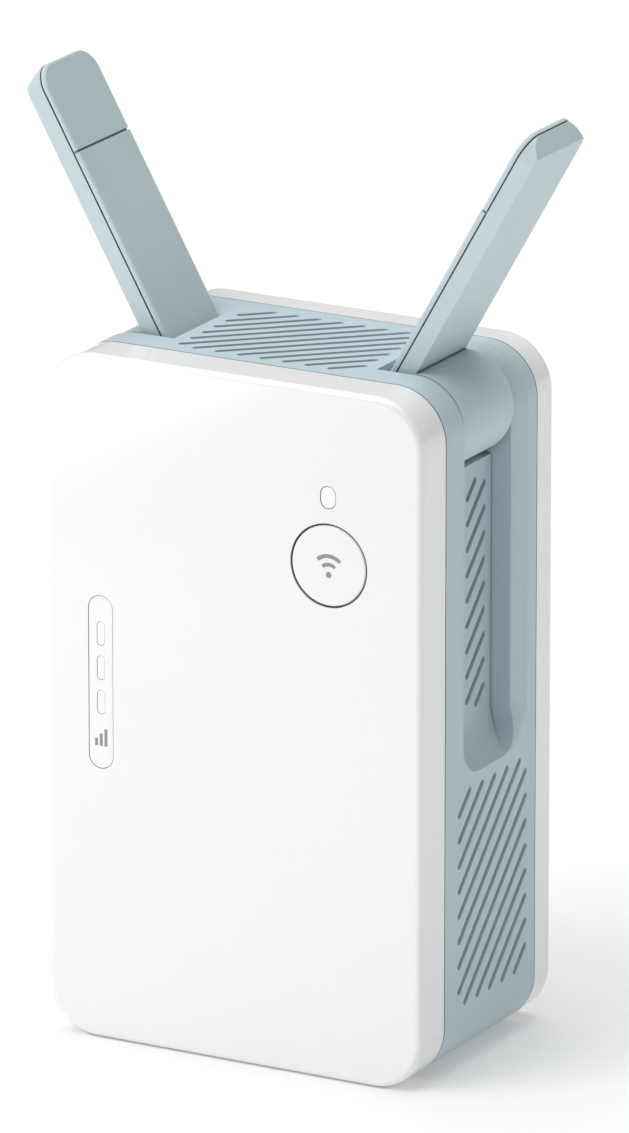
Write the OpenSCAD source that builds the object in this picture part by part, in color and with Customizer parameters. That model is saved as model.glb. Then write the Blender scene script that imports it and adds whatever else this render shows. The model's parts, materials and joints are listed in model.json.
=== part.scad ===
// Plug-in wireless range extender with two folding antennas.
// The origin is the middle of the mains plug on the flat rear (wall side) face:
// +X is the right-hand side seen from the front, +Y points into the wall, +Z is up.

/* [Body] */
// overall width of the case
body_w = 77.4; // [70:0.2:96]
// overall height of the case
body_h = 130; // [124:1:160]
// radius of the four large corners seen from the front
corner_r = 10; // [10:0.5:13]
// depth of the white front shell
front_d = 9; // [8:0.5:12]
// depth of the coloured middle frame
mid_d = 35; // [34:0.5:46]
// depth of the white rear shell
rear_d = 7; // [7:0.5:10]
// wall thickness of the three case parts
wall = 2; // [1.8:0.1:2.2]
// rounding of the front edge
front_edge_r = 1.2; // [0.6:0.1:1.6]
// rounding of the rear edge
rear_edge_r = 2; // [1:0.1:2.4]
// height of the plug above the bottom of the case
plug_up = 76; // [74:1:84]

/* [Antennas] */
// distance from the hinge axis to the blade tip
blade_len = 59.4; // [50:0.2:60]
// width of the blade, front to rear
blade_w = 18.8; // [16:0.2:19.6]
// lean of the blade from upright in the rest position
blade_lean = 29.5; // [15:0.5:60]
// lean from upright at which the blades meet their inner stop
stop_lean = 14.5; // [12:0.5:15]
// thickness of the outer half of the blade
blade_outer_t = 3.15; // [2.8:0.05:3.2]
// thickness of the inner cover of the blade
blade_cover_t = 1.27; // [1.1:0.01:1.4]
// rounding of the two blade tip corners seen flat on
tip_r = 4.5; // [2:0.1:6]
// distance from the hinge axis to the joint across the inner cover
cover_split = 42.5; // [34:0.5:46]
// radius of the metal hinge pin
hinge_pin_r = 2.5; // [2:0.1:2.8]

/* [Stowage recess] */
// clear width of the recess, front to rear
recess_w = 21.2; // [20.8:0.1:22]
// depth of the recess floor below the side face
recess_depth = 5.8; // [5.6:0.1:6]
// height of the lower end of the recess above the bottom of the case
recess_low = 55.6; // [55:0.2:58]

/* [Grilles] */
// width of every ventilation slot
slot_w = 1.25; // [0.8:0.05:1.4]
// spacing between side slots, measured square to them
slot_pitch = 3.39; // [3:0.01:4]
// spacing between top slots, measured square to them
top_pitch = 3.15; // [3:0.01:4]

/* [Front controls] */
// radius of the pairing button
button_r = 7.55; // [6:0.05:8]
// distance of the button right of the centre line
button_x = 19.8; // [16:0.2:21]
// height of the button above the bottom of the case
button_up = 97.3; // [88:0.1:99]
// travel of the pairing button
button_travel = 0.4; // [0.2:0.05:0.5]
// height of the status light above the bottom of the case
status_up = 110; // [109.6:0.1:112]
// distance of the signal window left of the centre line
window_x = 27.3; // [24:0.1:28]
// height of the middle of the signal window above the bottom of the case
window_up = 68.3; // [60:0.1:76]
// height of the signal window
window_h = 32.7; // [31:0.1:36]
// width of the signal window
window_w = 4.9; // [4.4:0.1:5.4]

/* [Mains plug] */
// radius of the round contact pins
pin_r = 2; // [1.9:0.05:2.4]
// length of the pins beyond the plug block
pin_len = 19; // [17:0.5:20]
// distance between the two pins
pin_gap = 18.6; // [18:0.1:19.2]
// length of the plug block behind the case
plug_d = 17; // [12:0.5:18]

/* [Hidden] */
$fn = 48;
small_fn = 24;
slot_fn = 16;
half_w = body_w / 2;
low_z = -plug_up;
top_z = low_z + body_h;
mid_rear_y = -rear_d;
mid_front_y = mid_rear_y - mid_d;
face_y = mid_front_y - front_d;
corner_x = half_w - corner_r;
through = 2;
slip = 0.15;
lip_t = 1.25;
lip_d = 1.4;
// hinge bays
skin = 1.6;
drum_x = corner_x - 0.3;
drum_z = top_z - corner_r + 0.3;
drum_r = corner_r - 0.4;
pocket_r = drum_r + 0.4;
bay_y = mid_front_y + mid_d / 2 + 0.1;
bay_front = bay_y - recess_w / 2;
bay_rear = bay_y + recess_w / 2;
bevel_deep = 1.8;
bevel_wide = 3;
floor_x = half_w - recess_depth;
scoop_r = recess_depth + 2.2;
scoop_rise = sqrt(scoop_r * scoop_r - (scoop_r - recess_depth) * (scoop_r - recess_depth));
scoop_z = low_z + recess_low + scoop_rise;
recess_corner_r = 6;
fade_r = recess_corner_r + bevel_wide;
fade_rise = 0.06;
fade_z = low_z + recess_low + fade_r + fade_rise;
fade_y = bay_rear - recess_corner_r;
// fine groove around the frame at each parting line
reveal_w = 0.25;
reveal_deep = 0.3;
floor_gap_z = drum_z - pocket_r;
// antenna blade, measured from the hinge axis
seam_x = -(drum_r - 0.26) + blade_cover_t;
outer_x = seam_x + blade_outer_t;
cover_x = seam_x - blade_cover_t;
blade_half = blade_w / 2;
groove = 0.3;
cover_foot = 1;
cover_proud = 0.12;
// inner stop face of the bay, parallel to the blade at its most upright
stop_gap = 0.3;
stop_off = stop_gap + cover_proud - cover_x;
bay_edge_x = drum_x - (stop_off - (top_z - drum_z) * sin(stop_lean)) / cos(stop_lean);
washer_t = 0.6;
run_fit = 0.06;
// ventilation fields
side_field_w = 26.6;
side_field_h = 41.2;
side_field_z = low_z + 32.9;
side_field_y = bay_y + 0.75;
side_slots = 13;
side_slope = 45;
floor_field_w = 7.6;
floor_field_h = 43.8;
floor_field_z = low_z + 85.9;
floor_field_off = 4.72;
floor_slots = 10;
top_field_edge = 2.3;
top_field_d = 28.2;
top_field_y = bay_y - 0.6;
top_slots = 13;
top_slope = 43;
rear_vent_w = 36;
rear_vent_pitch = 3.4;
rear_vent_rows = 7;
rear_vent_z = top_z - 36;
// label seat on the rear
label_w = 44;
label_h = 34;
label_z = low_z + 14;
label_deep = 0.3;
label_t = 0.2;
// boards
board_t = 1.6;
board_front_y = mid_front_y + 1.6;
board_rear_y = board_front_y + board_t;
board_inset = 3.2;
supply_rear_y = -wall - 2.8;
supply_front_y = supply_rear_y - board_t;
supply_half_w = 27;
supply_low = low_z + 8;
supply_high = -11;
// controls
button_y = face_y + wall;
button_z = low_z + button_up;
button_gap = 0.3;
flange_r = button_r + 1.1;
switch_h = 3.5;
switch_front_y = board_front_y - switch_h;
plunger_r = 1.6;
plunger_out = button_travel + 0.6;
plunger_in = 1.5;
status_x = button_x - 0.15;
status_z = low_z + status_up;
status_w = 3;
status_h = 4.1;
window_z = low_z + window_up;
lens_w = 1.55;
lens_h = 4.5;
lens_pitch = 6.5;
lens_up = 2.7;
guide_rear_y = board_front_y - 1.2;
emitter_t = 0.8;
bar_w = 0.62;
bar_step = 0.98;
inlay = 0.2;
// screws
rear_post_x = half_w - 5.9;
rear_post_low = low_z + 7;
rear_post_in_x = 11.5;
rear_post_high = top_z - wall - 3.2;
post_r = 3.4;
post_len = 9;
head_r = 2.4;
head_t = 1.8;
head_deep = 3.4;
screw_r = 1.2;
board_post_x = half_w - 8.7;
board_post_low = low_z + 10;
board_post_high = top_z - 12;
board_post_r = 2.6;
board_screw_r = 0.9;
core_half = 10;
core_leg = 3.2;
core_window = 7.2;
core_mid_z = low_z + 40;
core_rear_y = supply_front_y - 5;
core_front_y = core_rear_y - 8;
// plug
plug_w = 34;
plug_h = 13.6;
plug_corner_r = 5;
plug_flange = 2.5;
plug_flange_t = 2;
sleeve_len = 8;
pin_core_r = pin_r - 0.6;
pin_tip = 0.8;
pin_in_y = -wall - plug_flange_t - 4;
// ethernet socket
jack_w = 16;
jack_t = 13.4;
jack_h = 16;
jack_rear_y = board_rear_y + jack_t;
jack_mid_y = board_rear_y + jack_t / 2;
port_w = 11.8;
port_t = 6.8;
port_deep = 12.5;
port_y = jack_mid_y + 0.8;
reset_x = 16;
reset_y = board_rear_y + 2.4;
reset_body = 4.4;
reset_body_h = 3.4;
reset_low = low_z + wall + 1.3;

// ---------- shared shapes ----------

// flat rounded rectangle standing on the X axis, centred left to right
module rounded_outline(w, h, r) {
    translate([-w / 2, r]) square([w, h - 2 * r]);
    translate([-w / 2 + r, 0]) square([w - 2 * r, h]);
    for (side = [-1, 1]) {
        translate([side * (w / 2 - r), r]) circle(r = r);
        translate([side * (w / 2 - r), h - r]) circle(r = r);
    }
}

// draws a shape given in (X, Z) as a solid between two depths
module along_y(y0, y1) {
    translate([0, y1, 0]) rotate([90, 0, 0]) linear_extrude(height = y1 - y0) children();
}

// draws a shape given in (Y, Z) as a solid between two widths
module along_x(x0, x1) {
    translate([x0, 0, 0]) rotate([90, 0, 90]) linear_extrude(height = x1 - x0) children();
}

// round bar along the depth direction
module rod_y(r, y0, y1, steps = $fn) {
    translate([0, y0, 0]) rotate([-90, 0, 0]) cylinder(r = r, h = y1 - y0, $fn = steps);
}

// block given by its two opposite corners
module block(low, high) {
    translate(low) cube(high - low);
}

// straight slot with round ends, centred
module pill(w, h) {
    square([w, h - w], center = true);
    for (side = [-1, 1]) {
        translate([0, side * (h - w) / 2]) circle(d = w, $fn = small_fn);
    }
}

// the case outline between two depths, drawn in from the outside by inset
module case_slab(y0, y1, inset = 0) {
    translate([0, 0, low_z + inset])
        along_y(y0, y1)
            rounded_outline(body_w - 2 * inset, body_h - 2 * inset, corner_r - inset);
}

// cross-section of a tray with two rounded outer edges
module edge_profile(w, d, e) {
    translate([-w / 2, -(d - e)]) square([w, d - e]);
    translate([-w / 2 + e, -d]) square([w - 2 * e, d]);
    for (side = [-1, 1]) {
        translate([side * (w / 2 - e), -(d - e)]) circle(r = e, $fn = small_fn);
    }
}

// case-shaped block whose far face has a rounded edge; the near face lies at Y = 0
module soft_case_block(d, e) {
    translate([0, 0, low_z + corner_r])
        linear_extrude(height = body_h - 2 * corner_r) edge_profile(body_w, d, e);
    translate([0, 0, low_z + body_h / 2])
        along_x(-corner_x, corner_x)
            rotate(-90) edge_profile(body_h, d, e);
    for (side = [-1, 1]) {
        for (z = [low_z + corner_r, top_z - corner_r]) {
            translate([side * corner_x, 0, z])
                rotate([90, 0, 0])
                    rotate_extrude() {
                        square([corner_r, d - e]);
                        square([corner_r - e, d]);
                        translate([corner_r - e, d - e]) circle(r = e, $fn = small_fn);
                    }
        }
    }
}

// field of parallel slots clipped to a rectangle, centred on the origin
module slot_field(w, h, lean, pitch, count) {
    reach_x = w / 2 - slot_w / 2;
    reach_y = h / 2 - slot_w / 2;
    for (i = [0:count - 1]) {
        off = (i - (count - 1) / 2) * pitch;
        at_x = -off * sin(lean);
        at_y = off * cos(lean);
        t0 = max((-reach_x - at_x) / cos(lean), (-reach_y - at_y) / sin(lean));
        t1 = min((reach_x - at_x) / cos(lean), (reach_y - at_y) / sin(lean));
        if (t1 - t0 > slot_w) {
            translate([at_x + (t0 + t1) / 2 * cos(lean), at_y + (t0 + t1) / 2 * sin(lean)])
                rotate(lean) {
                    square([t1 - t0, slot_w], center = true);
                    for (end = [-1, 1]) {
                        translate([end * (t1 - t0) / 2, 0]) circle(d = slot_w, $fn = slot_fn);
                    }
                }
        }
    }
}

// ring shaped lip that centres an outer shell inside the middle frame
module centring_lip(y0, y1) {
    difference() {
        case_slab(y0, y1, wall + slip);
        case_slab(y0 - 1, y1 + 1, wall + slip + lip_t);
    }
}

// small screw with a round head, head end at Y = 0, shank towards -Y
module screw(head, thick, shank, length) {
    difference() {
        rod_y(head, -thick, 0, small_fn);
        for (turn = [0, 90]) {
            rotate([0, turn, 0])
                block([-head * 0.55, -thick * 0.5, -0.25], [head * 0.55, 1, 0.25]);
        }
    }
    rod_y(shank, -length, -thick, small_fn);
}

// ---------- case ----------

module front_shell() {
    color("white") difference() {
        union() {
            difference() {
                translate([0, mid_front_y, 0]) soft_case_block(front_d, front_edge_r);
                case_slab(button_y, mid_front_y - 2, wall);
                case_slab(mid_front_y - 3, mid_front_y + 1, wall + slip + lip_t);
            }
            centring_lip(mid_front_y - 1, mid_front_y + lip_d);
            for (side = [-1, 1]) {
                for (z = [board_post_low, board_post_high]) {
                    translate([side * board_post_x, 0, z])
                        rod_y(board_post_r, button_y - 0.2, board_front_y);
                }
            }
        }
        for (side = [-1, 1]) {
            for (z = [board_post_low, board_post_high]) {
                translate([side * board_post_x, 0, z])
                    rod_y(board_screw_r + 0.03, button_y + 1, board_front_y + 1, small_fn);
            }
        }
        translate([button_x, 0, button_z])
            rod_y(button_r + button_gap, face_y - 1, button_y + 1);
        translate([status_x, 0, status_z])
            along_y(face_y - 1, button_y + 1) pill(status_w + 0.2, status_h + 0.2);
        translate([-window_x, 0, window_z])
            along_y(face_y - 1, button_y + 1) pill(window_w + 0.2, window_h + 0.2);
    }
}

// hollow cut for the drum, the folded blade and the opening at the top
module bay_cut() {
    intersection() {
        along_y(bay_front, bay_rear) {
            translate([drum_x, drum_z]) circle(r = pocket_r);
            translate([floor_x, scoop_z]) square([recess_depth + through, drum_z - scoop_z]);
            translate([floor_x + scoop_r, scoop_z]) circle(r = scoop_r);
            translate([floor_x, floor_gap_z]) square([recess_depth + through, pocket_r]);
            translate([drum_x, floor_gap_z + 0.2])
                square([half_w - drum_x, pocket_r - 0.2]);
            translate([drum_x, drum_z]) {
                open_x = half_w - drum_x + through;
                open_z = corner_r + through;
                wall_x = -(stop_off - open_z * sin(stop_lean)) / cos(stop_lean);
                polygon([[0, 0],
                    [-stop_off * cos(stop_lean), stop_off * sin(stop_lean)],
                    [wall_x, open_z],
                    [open_x, open_z],
                    [open_x, 0]]);
            }
        }
        along_x(0, half_w + through)
            translate([bay_y, low_z + recess_low])
                rounded_outline(recess_w, body_h, recess_corner_r);
    }
}

// bevelled rear rim of the bay, following the outside of the case and fading out at the bottom
module bay_bevel() {
    translate([0, 0, fade_z])
        linear_extrude(height = top_z - corner_r - fade_z)
            polygon([[half_w - bevel_deep, bay_rear - 0.01],
                [half_w, bay_rear + bevel_wide],
                [half_w + 1, bay_rear + bevel_wide],
                [half_w + 1, bay_rear - 0.01]]);
    intersection() {
        translate([half_w, fade_y, fade_z])
            rotate([0, 90, 0])
                rotate_extrude()
                    polygon([[0, -bevel_deep],
                        [recess_corner_r, -bevel_deep],
                        [fade_r, 0],
                        [fade_r, 1],
                        [0, 1]]);
        block([half_w - bevel_deep - 1, fade_y, fade_z - fade_r - 1],
            [half_w + 2, fade_y + fade_r + 1, fade_z]);
    }
    intersection() {
        translate([corner_x, bay_rear - 0.01, top_z - corner_r])
            rotate([-90, 0, 0])
                rotate_extrude()
                    polygon([[corner_r - bevel_deep, 0],
                        [corner_r, bevel_wide],
                        [corner_r + 1, bevel_wide],
                        [corner_r + 1, 0]]);
        block([corner_x, bay_rear - 1, top_z - corner_r],
            [half_w + 1, bay_rear + bevel_wide + 1, top_z + 1]);
    }
    along_x(bay_edge_x, corner_x)
        polygon([[bay_rear - 0.01, top_z - bevel_deep],
            [bay_rear + bevel_wide, top_z],
            [bay_rear + bevel_wide, top_z + 1],
            [bay_rear - 0.01, top_z + 1]]);
}

// solid that becomes the inner walls around one bay
module bay_walls() {
    intersection() {
        case_slab(bay_front - skin, bay_rear + skin);
        along_y(bay_front - skin, bay_rear + skin) {
            translate([drum_x, drum_z]) circle(r = pocket_r + skin);
            translate([floor_x - skin, low_z + recess_low - skin])
                square([recess_depth + skin, drum_z - low_z - recess_low + skin]);
            translate([bay_edge_x - skin, drum_z])
                square([half_w - bay_edge_x + skin, corner_r]);
        }
    }
}

module mid_frame() {
    color("lightsteelblue") difference() {
        union() {
            difference() {
                union() {
                    case_slab(mid_front_y, mid_rear_y, reveal_deep);
                    case_slab(mid_front_y + reveal_w, mid_rear_y - reveal_w);
                }
                case_slab(mid_front_y - 1, mid_rear_y + 1, wall);
            }
            for (side = [0, 1]) {
                mirror([side, 0, 0]) {
                    bay_walls();
                    translate([rear_post_x, 0, rear_post_low])
                        rod_y(post_r, mid_rear_y - post_len, mid_rear_y);
                    translate([rear_post_in_x, 0, rear_post_high])
                        rod_y(post_r, mid_rear_y - post_len, mid_rear_y);
                }
            }
        }
        for (side = [0, 1]) {
            mirror([side, 0, 0]) {
                bay_cut();
                bay_bevel();
                translate([drum_x, 0, drum_z])
                    rod_y(hinge_pin_r + 0.02, bay_front - skin - 1, bay_rear + skin + 1, small_fn);
                translate([rear_post_x, 0, rear_post_low])
                    rod_y(screw_r + 0.03, mid_rear_y - post_len - 1, mid_rear_y + 1, small_fn);
                translate([rear_post_in_x, 0, rear_post_high])
                    rod_y(screw_r + 0.03, mid_rear_y - post_len - 1, mid_rear_y + 1, small_fn);
                translate([0, side_field_y, side_field_z])
                    along_x(half_w - wall - 1, half_w + 1)
                        slot_field(side_field_w, side_field_h, side_slope, slot_pitch, side_slots);
                for (column = [-1, 1]) {
                    translate([0, bay_y + column * floor_field_off, floor_field_z])
                        along_x(floor_x - skin - 1, floor_x + 1)
                            slot_field(floor_field_w, floor_field_h, side_slope,
                                slot_pitch, floor_slots);
                }
            }
        }
        translate([0, top_field_y, top_z - wall - 1])
            linear_extrude(height = wall + 2)
                slot_field(2 * (bay_edge_x - top_field_edge), top_field_d, top_slope,
                    top_pitch, top_slots);
        block([-jack_w / 2 - 0.2, board_rear_y - 0.1, low_z - 1],
            [jack_w / 2 + 0.2, jack_rear_y + 0.2, low_z + wall + 1]);
        translate([reset_x, reset_y, low_z - 1])
            cylinder(r = 0.9, h = wall + 2, $fn = small_fn);
    }
}

module rear_shell() {
    color("white") difference() {
        union() {
            difference() {
                translate([0, mid_rear_y, 0])
                    mirror([0, 1, 0]) soft_case_block(rear_d, rear_edge_r);
                case_slab(mid_rear_y + 2, -wall, wall);
                case_slab(mid_rear_y - 1, mid_rear_y + 3, wall + slip + lip_t);
            }
            difference() {
                centring_lip(mid_rear_y - lip_d, mid_rear_y + 1);
                for (side = [-1, 1]) {
                    translate([side * rear_post_x, 0, rear_post_low])
                        rod_y(post_r + 0.3, mid_rear_y - 4, mid_rear_y);
                    translate([side * rear_post_in_x, 0, rear_post_high])
                        rod_y(post_r + 0.3, mid_rear_y - 4, mid_rear_y);
                }
            }
            for (side = [-1, 1]) {
                translate([side * rear_post_x, 0, rear_post_low])
                    rod_y(post_r, mid_rear_y, -wall + 0.2);
                translate([side * rear_post_in_x, 0, rear_post_high])
                    rod_y(post_r, mid_rear_y, -wall + 0.2);
                for (z = [supply_low + 4, supply_high - 4]) {
                    translate([side * (supply_half_w - 4), 0, z])
                        rod_y(board_post_r, supply_rear_y, -wall + 0.2);
                }
            }
        }
        for (side = [-1, 1]) {
            for (at = [[rear_post_x, rear_post_low], [rear_post_in_x, rear_post_high]]) {
                translate([side * at[0], 0, at[1]]) {
                    rod_y(screw_r + 0.3, mid_rear_y - 1, 1, small_fn);
                    rod_y(head_r + 0.3, -head_deep, 1, small_fn);
                }
            }
            for (z = [supply_low + 4, supply_high - 4]) {
                translate([side * (supply_half_w - 4), 0, z])
                    rod_y(board_screw_r + 0.03, supply_rear_y - 1, -1, small_fn);
            }
        }
        translate([0, 0, -plug_h / 2 - slip])
            along_y(mid_rear_y, 1)
                rounded_outline(plug_w + 2 * slip, plug_h + 2 * slip, plug_corner_r + slip);
        block([-label_w / 2, -label_deep, label_z], [label_w / 2, 1, label_z + label_h]);
        for (row = [0:rear_vent_rows - 1]) {
            translate([0, 0, rear_vent_z + row * rear_vent_pitch])
                along_y(-wall - 1, 1)
                    rotate(90) pill(slot_w, rear_vent_w);
        }
    }
}

module rating_label() {
    color("silver") block([slip - label_w / 2, -label_deep, label_z + slip],
        [label_w / 2 - slip, label_t - label_deep, label_z + label_h - slip]);
}

module housing_screws() {
    color("gray") for (side = [-1, 1]) {
        for (at = [[rear_post_x, rear_post_low], [rear_post_in_x, rear_post_high]]) {
            translate([side * at[0], -head_deep + head_t, at[1]])
                screw(head_r, head_t, screw_r, 12);
        }
    }
}

// ---------- lights on the front ----------

module lens_row() {
    for (row = [-1, 0, 1]) {
        translate([0, lens_up + row * lens_pitch]) children();
    }
}

module bars() {
    for (i = [0:2]) {
        translate([(i - 1) * bar_step - bar_w / 2, -window_h / 2 + 4.2])
            square([bar_w, 1.4 + i * 0.95]);
    }
}

module signal_window() {
    color("white") translate([-window_x, 0, window_z]) difference() {
        union() {
            along_y(face_y + 0.08, button_y) pill(window_w, window_h);
            along_y(button_y, button_y + 0.8) pill(window_w + 2, window_h + 2);
        }
        along_y(face_y - 1, button_y + 2) lens_row() pill(lens_w + 0.1, lens_h + 0.1);
        along_y(face_y - 1, face_y + 0.08 + inlay) bars();
    }
}

module signal_bars() {
    color("dimgray") translate([-window_x, 0, window_z])
        along_y(face_y + 0.08, face_y + 0.08 + inlay) bars();
}

module signal_light_guide() {
    color("ghostwhite") translate([-window_x, 0, window_z]) {
        along_y(face_y + 0.14, guide_rear_y) lens_row() pill(lens_w, lens_h);
        along_y(button_y + 0.8, button_y + 2.2)
            translate([0, lens_up]) pill(window_w + 1, 2 * lens_pitch + lens_h + 3);
    }
}

module status_light_guide() {
    color("ghostwhite") translate([status_x, 0, status_z]) {
        along_y(face_y + 0.08, guide_rear_y) pill(status_w, status_h);
        along_y(button_y, button_y + 1) pill(status_w + 1.4, status_h + 1.4);
    }
}

module light_emitters() {
    color("khaki") {
        for (row = [-1, 0, 1]) {
            translate([-window_x, board_front_y - emitter_t, window_z + lens_up + row * lens_pitch])
                block([-0.6, 0, -0.9], [0.6, emitter_t, 0.9]);
        }
        translate([status_x, board_front_y - emitter_t, status_z])
            block([-0.6, 0, -0.9], [0.6, emitter_t, 0.9]);
    }
}

// ---------- pairing button ----------

// plain fan of two arcs over a dot
module glyph_outline() {
    translate([0, -1.7]) {
        circle(r = 0.55, $fn = small_fn);
        intersection() {
            union() {
                difference() {
                    circle(r = 2.25);
                    circle(r = 1.6);
                }
                difference() {
                    circle(r = 3.85);
                    circle(r = 3.15);
                }
            }
            polygon([[0, 0], [-4, 4.6], [4, 4.6]]);
        }
    }
}

module pairing_button() {
    color("white") translate([button_x, 0, button_z]) difference() {
        union() {
            translate([0, face_y, 0])
                rotate([-90, 0, 0])
                    rotate_extrude() {
                        translate([0, 0.4]) square([button_r, wall + 0.3]);
                        square([button_r - 0.4, 1]);
                        translate([button_r - 0.4, 0.4]) circle(r = 0.4, $fn = small_fn);
                    }
            rod_y(flange_r, button_y + 0.3, button_y + 1.1);
            rod_y(plunger_r, button_y + 1, switch_front_y - plunger_out - 0.02, small_fn);
        }
        along_y(face_y - 1, face_y + inlay) glyph_outline();
    }
}

module button_glyph() {
    color("gray") translate([button_x, 0, button_z])
        along_y(face_y, face_y + inlay) glyph_outline();
}

// fixed sleeve behind the front face that guides the rim of the button
module button_guide() {
    color("white") translate([button_x, 0, button_z]) difference() {
        rod_y(flange_r + 1.2, button_y, button_y + 2.2 + button_travel);
        rod_y(flange_r + 0.3, button_y - 1, button_y + 3);
    }
}

module pairing_switch() {
    color("dimgray") translate([button_x, 0, button_z]) difference() {
        block([-3, switch_front_y, -3], [3, board_front_y, 3]);
        rod_y(plunger_r + run_fit, switch_front_y - 1,
            switch_front_y + plunger_in + button_travel + 0.3, small_fn);
    }
}

module pairing_plunger() {
    color("black") translate([button_x, 0, button_z])
        rod_y(plunger_r, switch_front_y - plunger_out, switch_front_y + plunger_in, small_fn);
}

// ---------- main board ----------

module main_board() {
    color("darkgreen") difference() {
        case_slab(board_front_y, board_rear_y, board_inset);
        for (side = [-1, 1]) {
            for (z = [board_post_low, board_post_high]) {
                translate([side * board_post_x, 0, z])
                    rod_y(board_screw_r + 0.1, board_front_y - 1, board_rear_y + 1, small_fn);
            }
        }
    }
}

module board_screws() {
    color("silver") for (side = [-1, 1]) {
        for (z = [board_post_low, board_post_high]) {
            translate([side * board_post_x, board_rear_y + 1.1, z])
                screw(1.8, 1.1, board_screw_r, 6.7);
        }
    }
}

module processor() {
    color("black") block([-7, board_rear_y, low_z + 73], [7, board_rear_y + 1.2, low_z + 87]);
}

module thermal_pad() {
    color("lightblue")
        block([-7, board_rear_y + 1.2, low_z + 73], [7, board_rear_y + 1.8, low_z + 87]);
}

module heat_sink() {
    base_y = board_rear_y + 1.8;
    color("silver") {
        block([-15, base_y, low_z + 65], [15, base_y + 1.5, low_z + 95]);
        for (fin = [0:7]) {
            translate([-14.5 + fin * 4, 0, 0])
                block([0, base_y + 1.4, low_z + 65], [1, base_y + 7, low_z + 95]);
        }
    }
}

module memory_chip() {
    color("black") block([-4, board_rear_y, low_z + 51], [4, board_rear_y + 1, low_z + 60]);
}

module radio_shields() {
    color("lightgray") for (side = [-1, 1]) {
        translate([side * 18, 0, 0]) difference() {
            block([-11, board_rear_y, low_z + 44], [11, board_rear_y + 2.6, low_z + 62]);
            block([-10.7, board_rear_y - 1, low_z + 44.3],
                [10.7, board_rear_y + 2.3, low_z + 61.7]);
        }
    }
}

module aerial_sockets() {
    color("gold") for (side = [-1, 1]) {
        translate([side * 10, 0, drum_z]) rod_y(1.3, board_rear_y, board_rear_y + 0.6, small_fn);
    }
}

// thin coaxial leads from the board sockets into the hollow hinge pins
module aerial_leads() {
    lead_y = board_rear_y + 1.15;
    lead_r = 0.5;
    color("black") for (side = [0, 1]) {
        mirror([side, 0, 0]) {
            translate([10, lead_y, drum_z])
                rotate([0, 90, 0]) cylinder(r = lead_r, h = drum_x - 10, $fn = small_fn);
            translate([10, lead_y, drum_z]) sphere(r = lead_r, $fn = small_fn);
            translate([drum_x, lead_y, drum_z]) sphere(r = lead_r, $fn = small_fn);
            translate([drum_x, 0, drum_z]) rod_y(lead_r, lead_y, bay_y, small_fn);
        }
    }
}

// ---------- ethernet socket and reset switch ----------

module ethernet_shell() {
    color("silver") difference() {
        block([-jack_w / 2, board_rear_y, low_z + 0.3], [jack_w / 2, jack_rear_y, low_z + jack_h]);
        block([-jack_w / 2 + 0.4, board_rear_y + 0.4, low_z - 1],
            [jack_w / 2 - 0.4, jack_rear_y - 0.4, low_z + jack_h - 0.4]);
    }
}

module ethernet_insert() {
    color("black") difference() {
        block([-jack_w / 2 + 0.4, board_rear_y + 0.4, low_z + 0.6],
            [jack_w / 2 - 0.4, jack_rear_y - 0.4, low_z + jack_h - 0.4]);
        block([-port_w / 2, port_y - port_t / 2, low_z - 1],
            [port_w / 2, port_y + port_t / 2, low_z + port_deep]);
        block([-3, board_rear_y + 1.6, low_z - 1], [3, port_y, low_z + port_deep - 2]);
    }
}

module ethernet_contacts() {
    color("gold") for (i = [0:7]) {
        translate([(i - 3.5) * 1.02, 0, 0])
            block([-0.2, port_y + port_t / 2 - 0.5, low_z + 3],
                [0.2, port_y + port_t / 2, low_z + port_deep]);
    }
}

module reset_switch() {
    color("dimgray") difference() {
        block([reset_x - reset_body / 2, board_rear_y, reset_low],
            [reset_x + reset_body / 2, board_rear_y + reset_body, reset_low + reset_body_h]);
        translate([reset_x, reset_y, reset_low - 1])
            cylinder(r = 0.8 + run_fit, h = 2.6, $fn = small_fn);
    }
}

module reset_plunger() {
    color("white") translate([reset_x, reset_y, reset_low - 0.7])
        cylinder(r = 0.8, h = 1.9, $fn = small_fn);
}

// ---------- power supply ----------

module power_board() {
    color("darkgreen") difference() {
        block([-supply_half_w, supply_front_y, supply_low],
            [supply_half_w, supply_rear_y, supply_high]);
        for (side = [-1, 1]) {
            for (z = [supply_low + 4, supply_high - 4]) {
                translate([side * (supply_half_w - 4), 0, z])
                    rod_y(board_screw_r + 0.1, supply_front_y - 1, supply_rear_y + 1, small_fn);
            }
        }
    }
}

module power_board_screws() {
    color("silver") for (side = [-1, 1]) {
        for (z = [supply_low + 4, supply_high - 4]) {
            translate([side * (supply_half_w - 4), supply_front_y - 1.1, z])
                mirror([0, 1, 0]) screw(1.8, 1.1, board_screw_r, 4.6);
        }
    }
}

module transformer_core() {
    color("dimgray") difference() {
        block([-core_half, core_front_y, core_mid_z - core_half],
            [core_half, core_rear_y, core_mid_z + core_half]);
        for (side = [-1, 1]) {
            translate([side * (core_leg + core_window) / 2, 0, core_mid_z])
                block([-(core_window - core_leg) / 2, core_front_y - 1, -core_half + core_leg],
                    [(core_window - core_leg) / 2, core_rear_y + 1, core_half - core_leg]);
        }
    }
}

// taped coil on its bobbin, wound round the middle leg of the core
module transformer_winding() {
    coil_x = core_window - slip;
    coil_z = core_half - core_leg - slip;
    color("gold") {
        difference() {
            block([-coil_x, core_front_y - 2.5, core_mid_z - coil_z],
                [coil_x, core_rear_y + 2.5, core_mid_z + coil_z]);
            block([-core_leg - 0.05, core_front_y - 0.05, core_mid_z - core_half],
                [core_leg + 0.05, core_rear_y + 0.05, core_mid_z + core_half]);
        }
        block([-coil_x - 1.5, core_rear_y + 2.4, core_mid_z - coil_z],
            [coil_x + 1.5, supply_front_y, core_mid_z + coil_z]);
    }
}

module can(r, length) {
    rotate([90, 0, 0]) cylinder(r = r, h = length, $fn = small_fn);
}

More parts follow.
